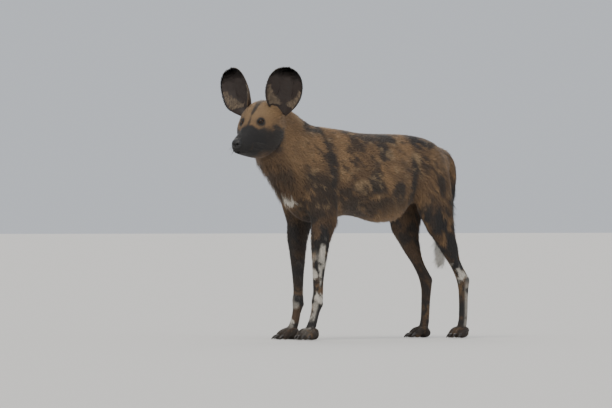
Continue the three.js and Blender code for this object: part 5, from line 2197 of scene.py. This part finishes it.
def haired(finish: Finish, streaks: bpy.types.NodeTree) -> Material:
    """Makes a coat material: the stored colour, streaked along the lie.

    Args:
        finish: Its finish.
        streaks: The shared streak group.

    Returns:
        The material.
    """
    material, n, shader = surface(finish)
    colour = n.add("ShaderNodeAttribute", attribute_name="coat_colour").outputs["Color"]
    if finish.relief > 0:
        group = n.add("ShaderNodeGroup", node_tree=streaks)
        group.inputs["Scale"].default_value = finish.grain
        n.link(n.scaled(colour, group.outputs["Factor"]), shader.inputs["Base Color"])
        n.link(n.bump(group.outputs["Height"], finish.relief), shader.inputs["Normal"])
        rough = finish.roughness
        gloss = n.ramp(group.outputs["Height"], 0.3, 0.7, rough + 0.1, rough - 0.1)
        n.link(gloss, shader.inputs["Roughness"])
        return material
    place = n.add("ShaderNodeTexCoord").outputs["Object"]
    fleck = n.noise(place, finish.grain, 2.0)
    n.link(n.scaled(colour, n.ramp(fleck, 0.3, 0.7, 0.82, 1.18)), shader.inputs["Base Color"])
    gloss = n.ramp(fleck, 0.3, 0.7, finish.roughness + 0.06, finish.roughness - 0.06)
    n.link(gloss, shader.inputs["Roughness"])
    return material


def pebbled(finish: Finish) -> Material:
    """Makes a leather or horn material: cell-like grain with darker seams and varied gloss.

    Args:
        finish: Its finish.

    Returns:
        The material.
    """
    material, n, shader = surface(finish)
    place = n.add("ShaderNodeTexCoord").outputs["Object"]
    cells = n.add("ShaderNodeTexVoronoi", feature="F1")
    cells.inputs["Scale"].default_value = finish.grain
    n.link(place, cells.inputs["Vector"])
    broad = n.noise(place, finish.grain / 6, 3.0)
    height = n.math("SUBTRACT", 1.0, cells.outputs["Distance"])
    gloss = n.ramp(broad, 0.35, 0.65, finish.roughness + 0.12, finish.roughness - 0.08)
    n.link(gloss, shader.inputs["Roughness"])
    base = n.add("ShaderNodeRGB")
    base.outputs[0].default_value = (*finish.colour, 1.0)
    n.link(n.scaled(base.outputs[0], n.ramp(height, 0.2, 0.9, 0.55, 1.35)), shader.inputs["Base Color"])
    if finish.relief > 0:
        n.link(n.bump(height, finish.relief), shader.inputs["Normal"])
    return material


def eye_material() -> Material:
    """Makes the eye: pupil, fibrous brown iris, dark rim and brown white, under a clear coat.

    Returns:
        The material.
    """
    material, n, shader = surface(EYE_FINISH)
    shader.inputs["Specular IOR Level"].default_value = 0.15
    shader.inputs["Coat Roughness"].default_value = 0.02
    gaze = n.add("ShaderNodeAttribute", attribute_name="gaze").outputs["Fac"]
    place = n.add("ShaderNodeTexCoord").outputs["Object"]
    uneven = n.ramp(n.noise(place, 700.0, 3.0), 0.3, 0.7, -0.03, 0.03)
    ramp = n.add("ShaderNodeValToRGB")
    line = ramp.color_ramp.elements
    while len(line) < len(IRIS):
        line.new(0.5)
    for element, (at, tone) in zip(line, IRIS):
        element.position = at
        element.color = (*tone, 1.0)
    n.link(n.math("ADD", gaze, uneven), ramp.inputs["Fac"])
    n.link(ramp.outputs["Color"], shader.inputs["Base Color"])
    return material


def place_piece(thing: Thing, material: Material) -> Thing:
    """Gives a piece its material and slot and fixes it to the body.

    Args:
        thing: The piece.
        material: Its material.

    Returns:
        The piece.
    """
    thing.data.materials.clear()
    thing.data.materials.append(material)
    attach(thing, "root")
    return thing


def build_head_parts(materials: dict[str, Material]) -> None:
    """Builds eyes, lids, ears, nose, lips and whiskers.

    Args:
        materials: The materials by name.
    """
    for eye, name in zip(EYES, ("left", "right")):
        shell, gaze = eye.ball()
        ball = place_piece(shell.put(f"eyeball_{name}"), materials["eye"])
        layer = ball.data.attributes.new("gaze", "FLOAT", "POINT")
        layer.data.foreach_set("value", gaze.astype(np.float32))
        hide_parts(f"eye_{name}")
        place_piece(eye.lids().put(f"lids_{name}"), materials["lid"])
        place_piece(lips_shell(eye.side).put(f"lips_{name}"), materials["lid"])
        ear = Ear(eye.side)
        leaf = place_piece(ear.shell().put(f"ear_leaf_{name}"), materials["ear"])
        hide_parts(f"ear_{name}")
        place_piece(ear.coat(f"coat_ear_{name}"), materials["coat"])
    nose = place_piece(nose_shell().put("nose_pad"), materials["nose"])
    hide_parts("nose")
    place_piece(whiskers().put("whiskers"), materials["whisker"])


BODY_NODES = ["head", "neck", "torso", "tail_dock", "tail_brush"] + [
    f"{part}_{side}"
    for side in ("left", "right")
    for part in ("fore_upper", "fore_arm", "fore_pastern", "fore_paw",
                 "hind_thigh", "hind_shank", "hind_cannon", "hind_paw")
]


def light(name: str, at: tuple[float, float, float], strength: float, spread: float,
          tint: tuple[float, float, float]) -> None:
    """Adds a soft, even light that shines at the animal from a direction.

    Args:
        name: Its name.
        at: The place it shines from.
        strength: Power for each square metre.
        spread: Angle of its disc in degrees, which softens the shadows.
        tint: Its colour.
    """
    lamp = bpy.data.lights.new(name, "SUN")
    lamp.angle = math.radians(spread)
    lamp.energy = strength
    lamp.color = tint
    thing = bpy.data.objects.new(name, lamp)
    thing.location = at
    thing.rotation_euler = (Vector((0.0, 0.0, 0.4)) - Vector(at)).to_track_quat("-Z", "Y").to_euler()
    bpy.context.scene.collection.objects.link(thing)


FLOOR_EDGE = 120.0
CAMERA_LENS, CAMERA_AZIMUTH, CAMERA_FAR, CAMERA_LEVEL = 460.0, -42.0, 25.0, 0.39
AIM_ACROSS, AIM_LEVEL = -0.2045, 0.4315


def set_stage() -> None:
    """Lays the pale floor, the soft light and the photo's long-lens camera."""
    corners = FLOOR_EDGE * np.array([[-1, -1, 0], [1, -1, 0], [1, 1, 0], [-1, 1, 0]])
    floor = Shell(corners - ORIGIN, np.array([[0, 1, 2, 3]])).put("floor")
    paint, _, shader = surface(Finish("FloorPaint", (0.6, 0.59, 0.57), 0.9, 0.0, 1.0))
    shader.inputs["Specular IOR Level"].default_value = 0.1
    floor.data.materials.append(paint)
    world = bpy.data.worlds.new("Studio")
    bpy.context.scene.world = world
    world.use_nodes = True
    sky = world.node_tree.nodes["Background"].inputs
    sky["Color"].default_value = (0.8, 0.84, 0.9, 1.0)
    sky["Strength"].default_value = 0.75
    light("key", (-5.2, -2.4, 7.0), 2.1, 40.0, (1.0, 0.95, 0.87))
    light("fill", (-1.5, -8.5, 3.2), 0.55, 60.0, (0.95, 0.97, 1.0))
    light("rim", (5.5, 6.0, 5.5), 1.3, 40.0, (1.0, 0.96, 0.9))
    set_camera()


def set_camera() -> None:
    """Sets the camera far off, low and to the animal's front left."""
    camera = bpy.data.cameras.new("camera")
    camera.sensor_width, camera.lens, camera.clip_end = 36.0, CAMERA_LENS, 400.0
    thing = bpy.data.objects.new("camera", camera)
    azimuth = math.radians(CAMERA_AZIMUTH)
    right = Vector((math.cos(azimuth), math.sin(azimuth), 0.0))
    back = Vector((math.sin(azimuth), -math.cos(azimuth), 0.0))
    target = right * (AIM_ACROSS + right.dot(Vector(ORIGIN))) + Vector((0, 0, AIM_LEVEL))
    target += back * back.dot(Vector(ORIGIN))
    thing.location = target + back * CAMERA_FAR + Vector((0.0, 0.0, CAMERA_LEVEL - AIM_LEVEL))
    thing.rotation_euler = (target - thing.location).to_track_quat("-Z", "Y").to_euler()
    bpy.context.scene.collection.objects.link(thing)
    bpy.context.scene.camera = thing


def main() -> None:
    """Builds the animal, dresses it and sets the stage."""
    streaks = streak_group()
    materials = {
        "skin": haired(SKIN_FINISH, streaks), "coat": haired(COAT_FINISH, streaks),
        "nose": pebbled(NOSE_FINISH), "lid": pebbled(LID_FINISH), "ear": pebbled(EAR_FINISH),
        "claw": pebbled(CLAW_FINISH), "whisker": pebbled(WHISKER_FINISH), "eye": eye_material(),
    }
    skin = Skin()
    body = place_piece(skin.put(), materials["skin"])
    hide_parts(*BODY_NODES)
    dress(skin, materials["coat"])
    build_head_parts(materials)
    for leg in LEGS:
        claws = join(leg.foot().claws()).put(f"claws_{leg.name}")
        place_piece(claws, materials["claw"])
    set_stage()


if __name__ == "__main__":
    logging.basicConfig(level=logging.INFO, format="%(name)s: %(message)s")
    main()
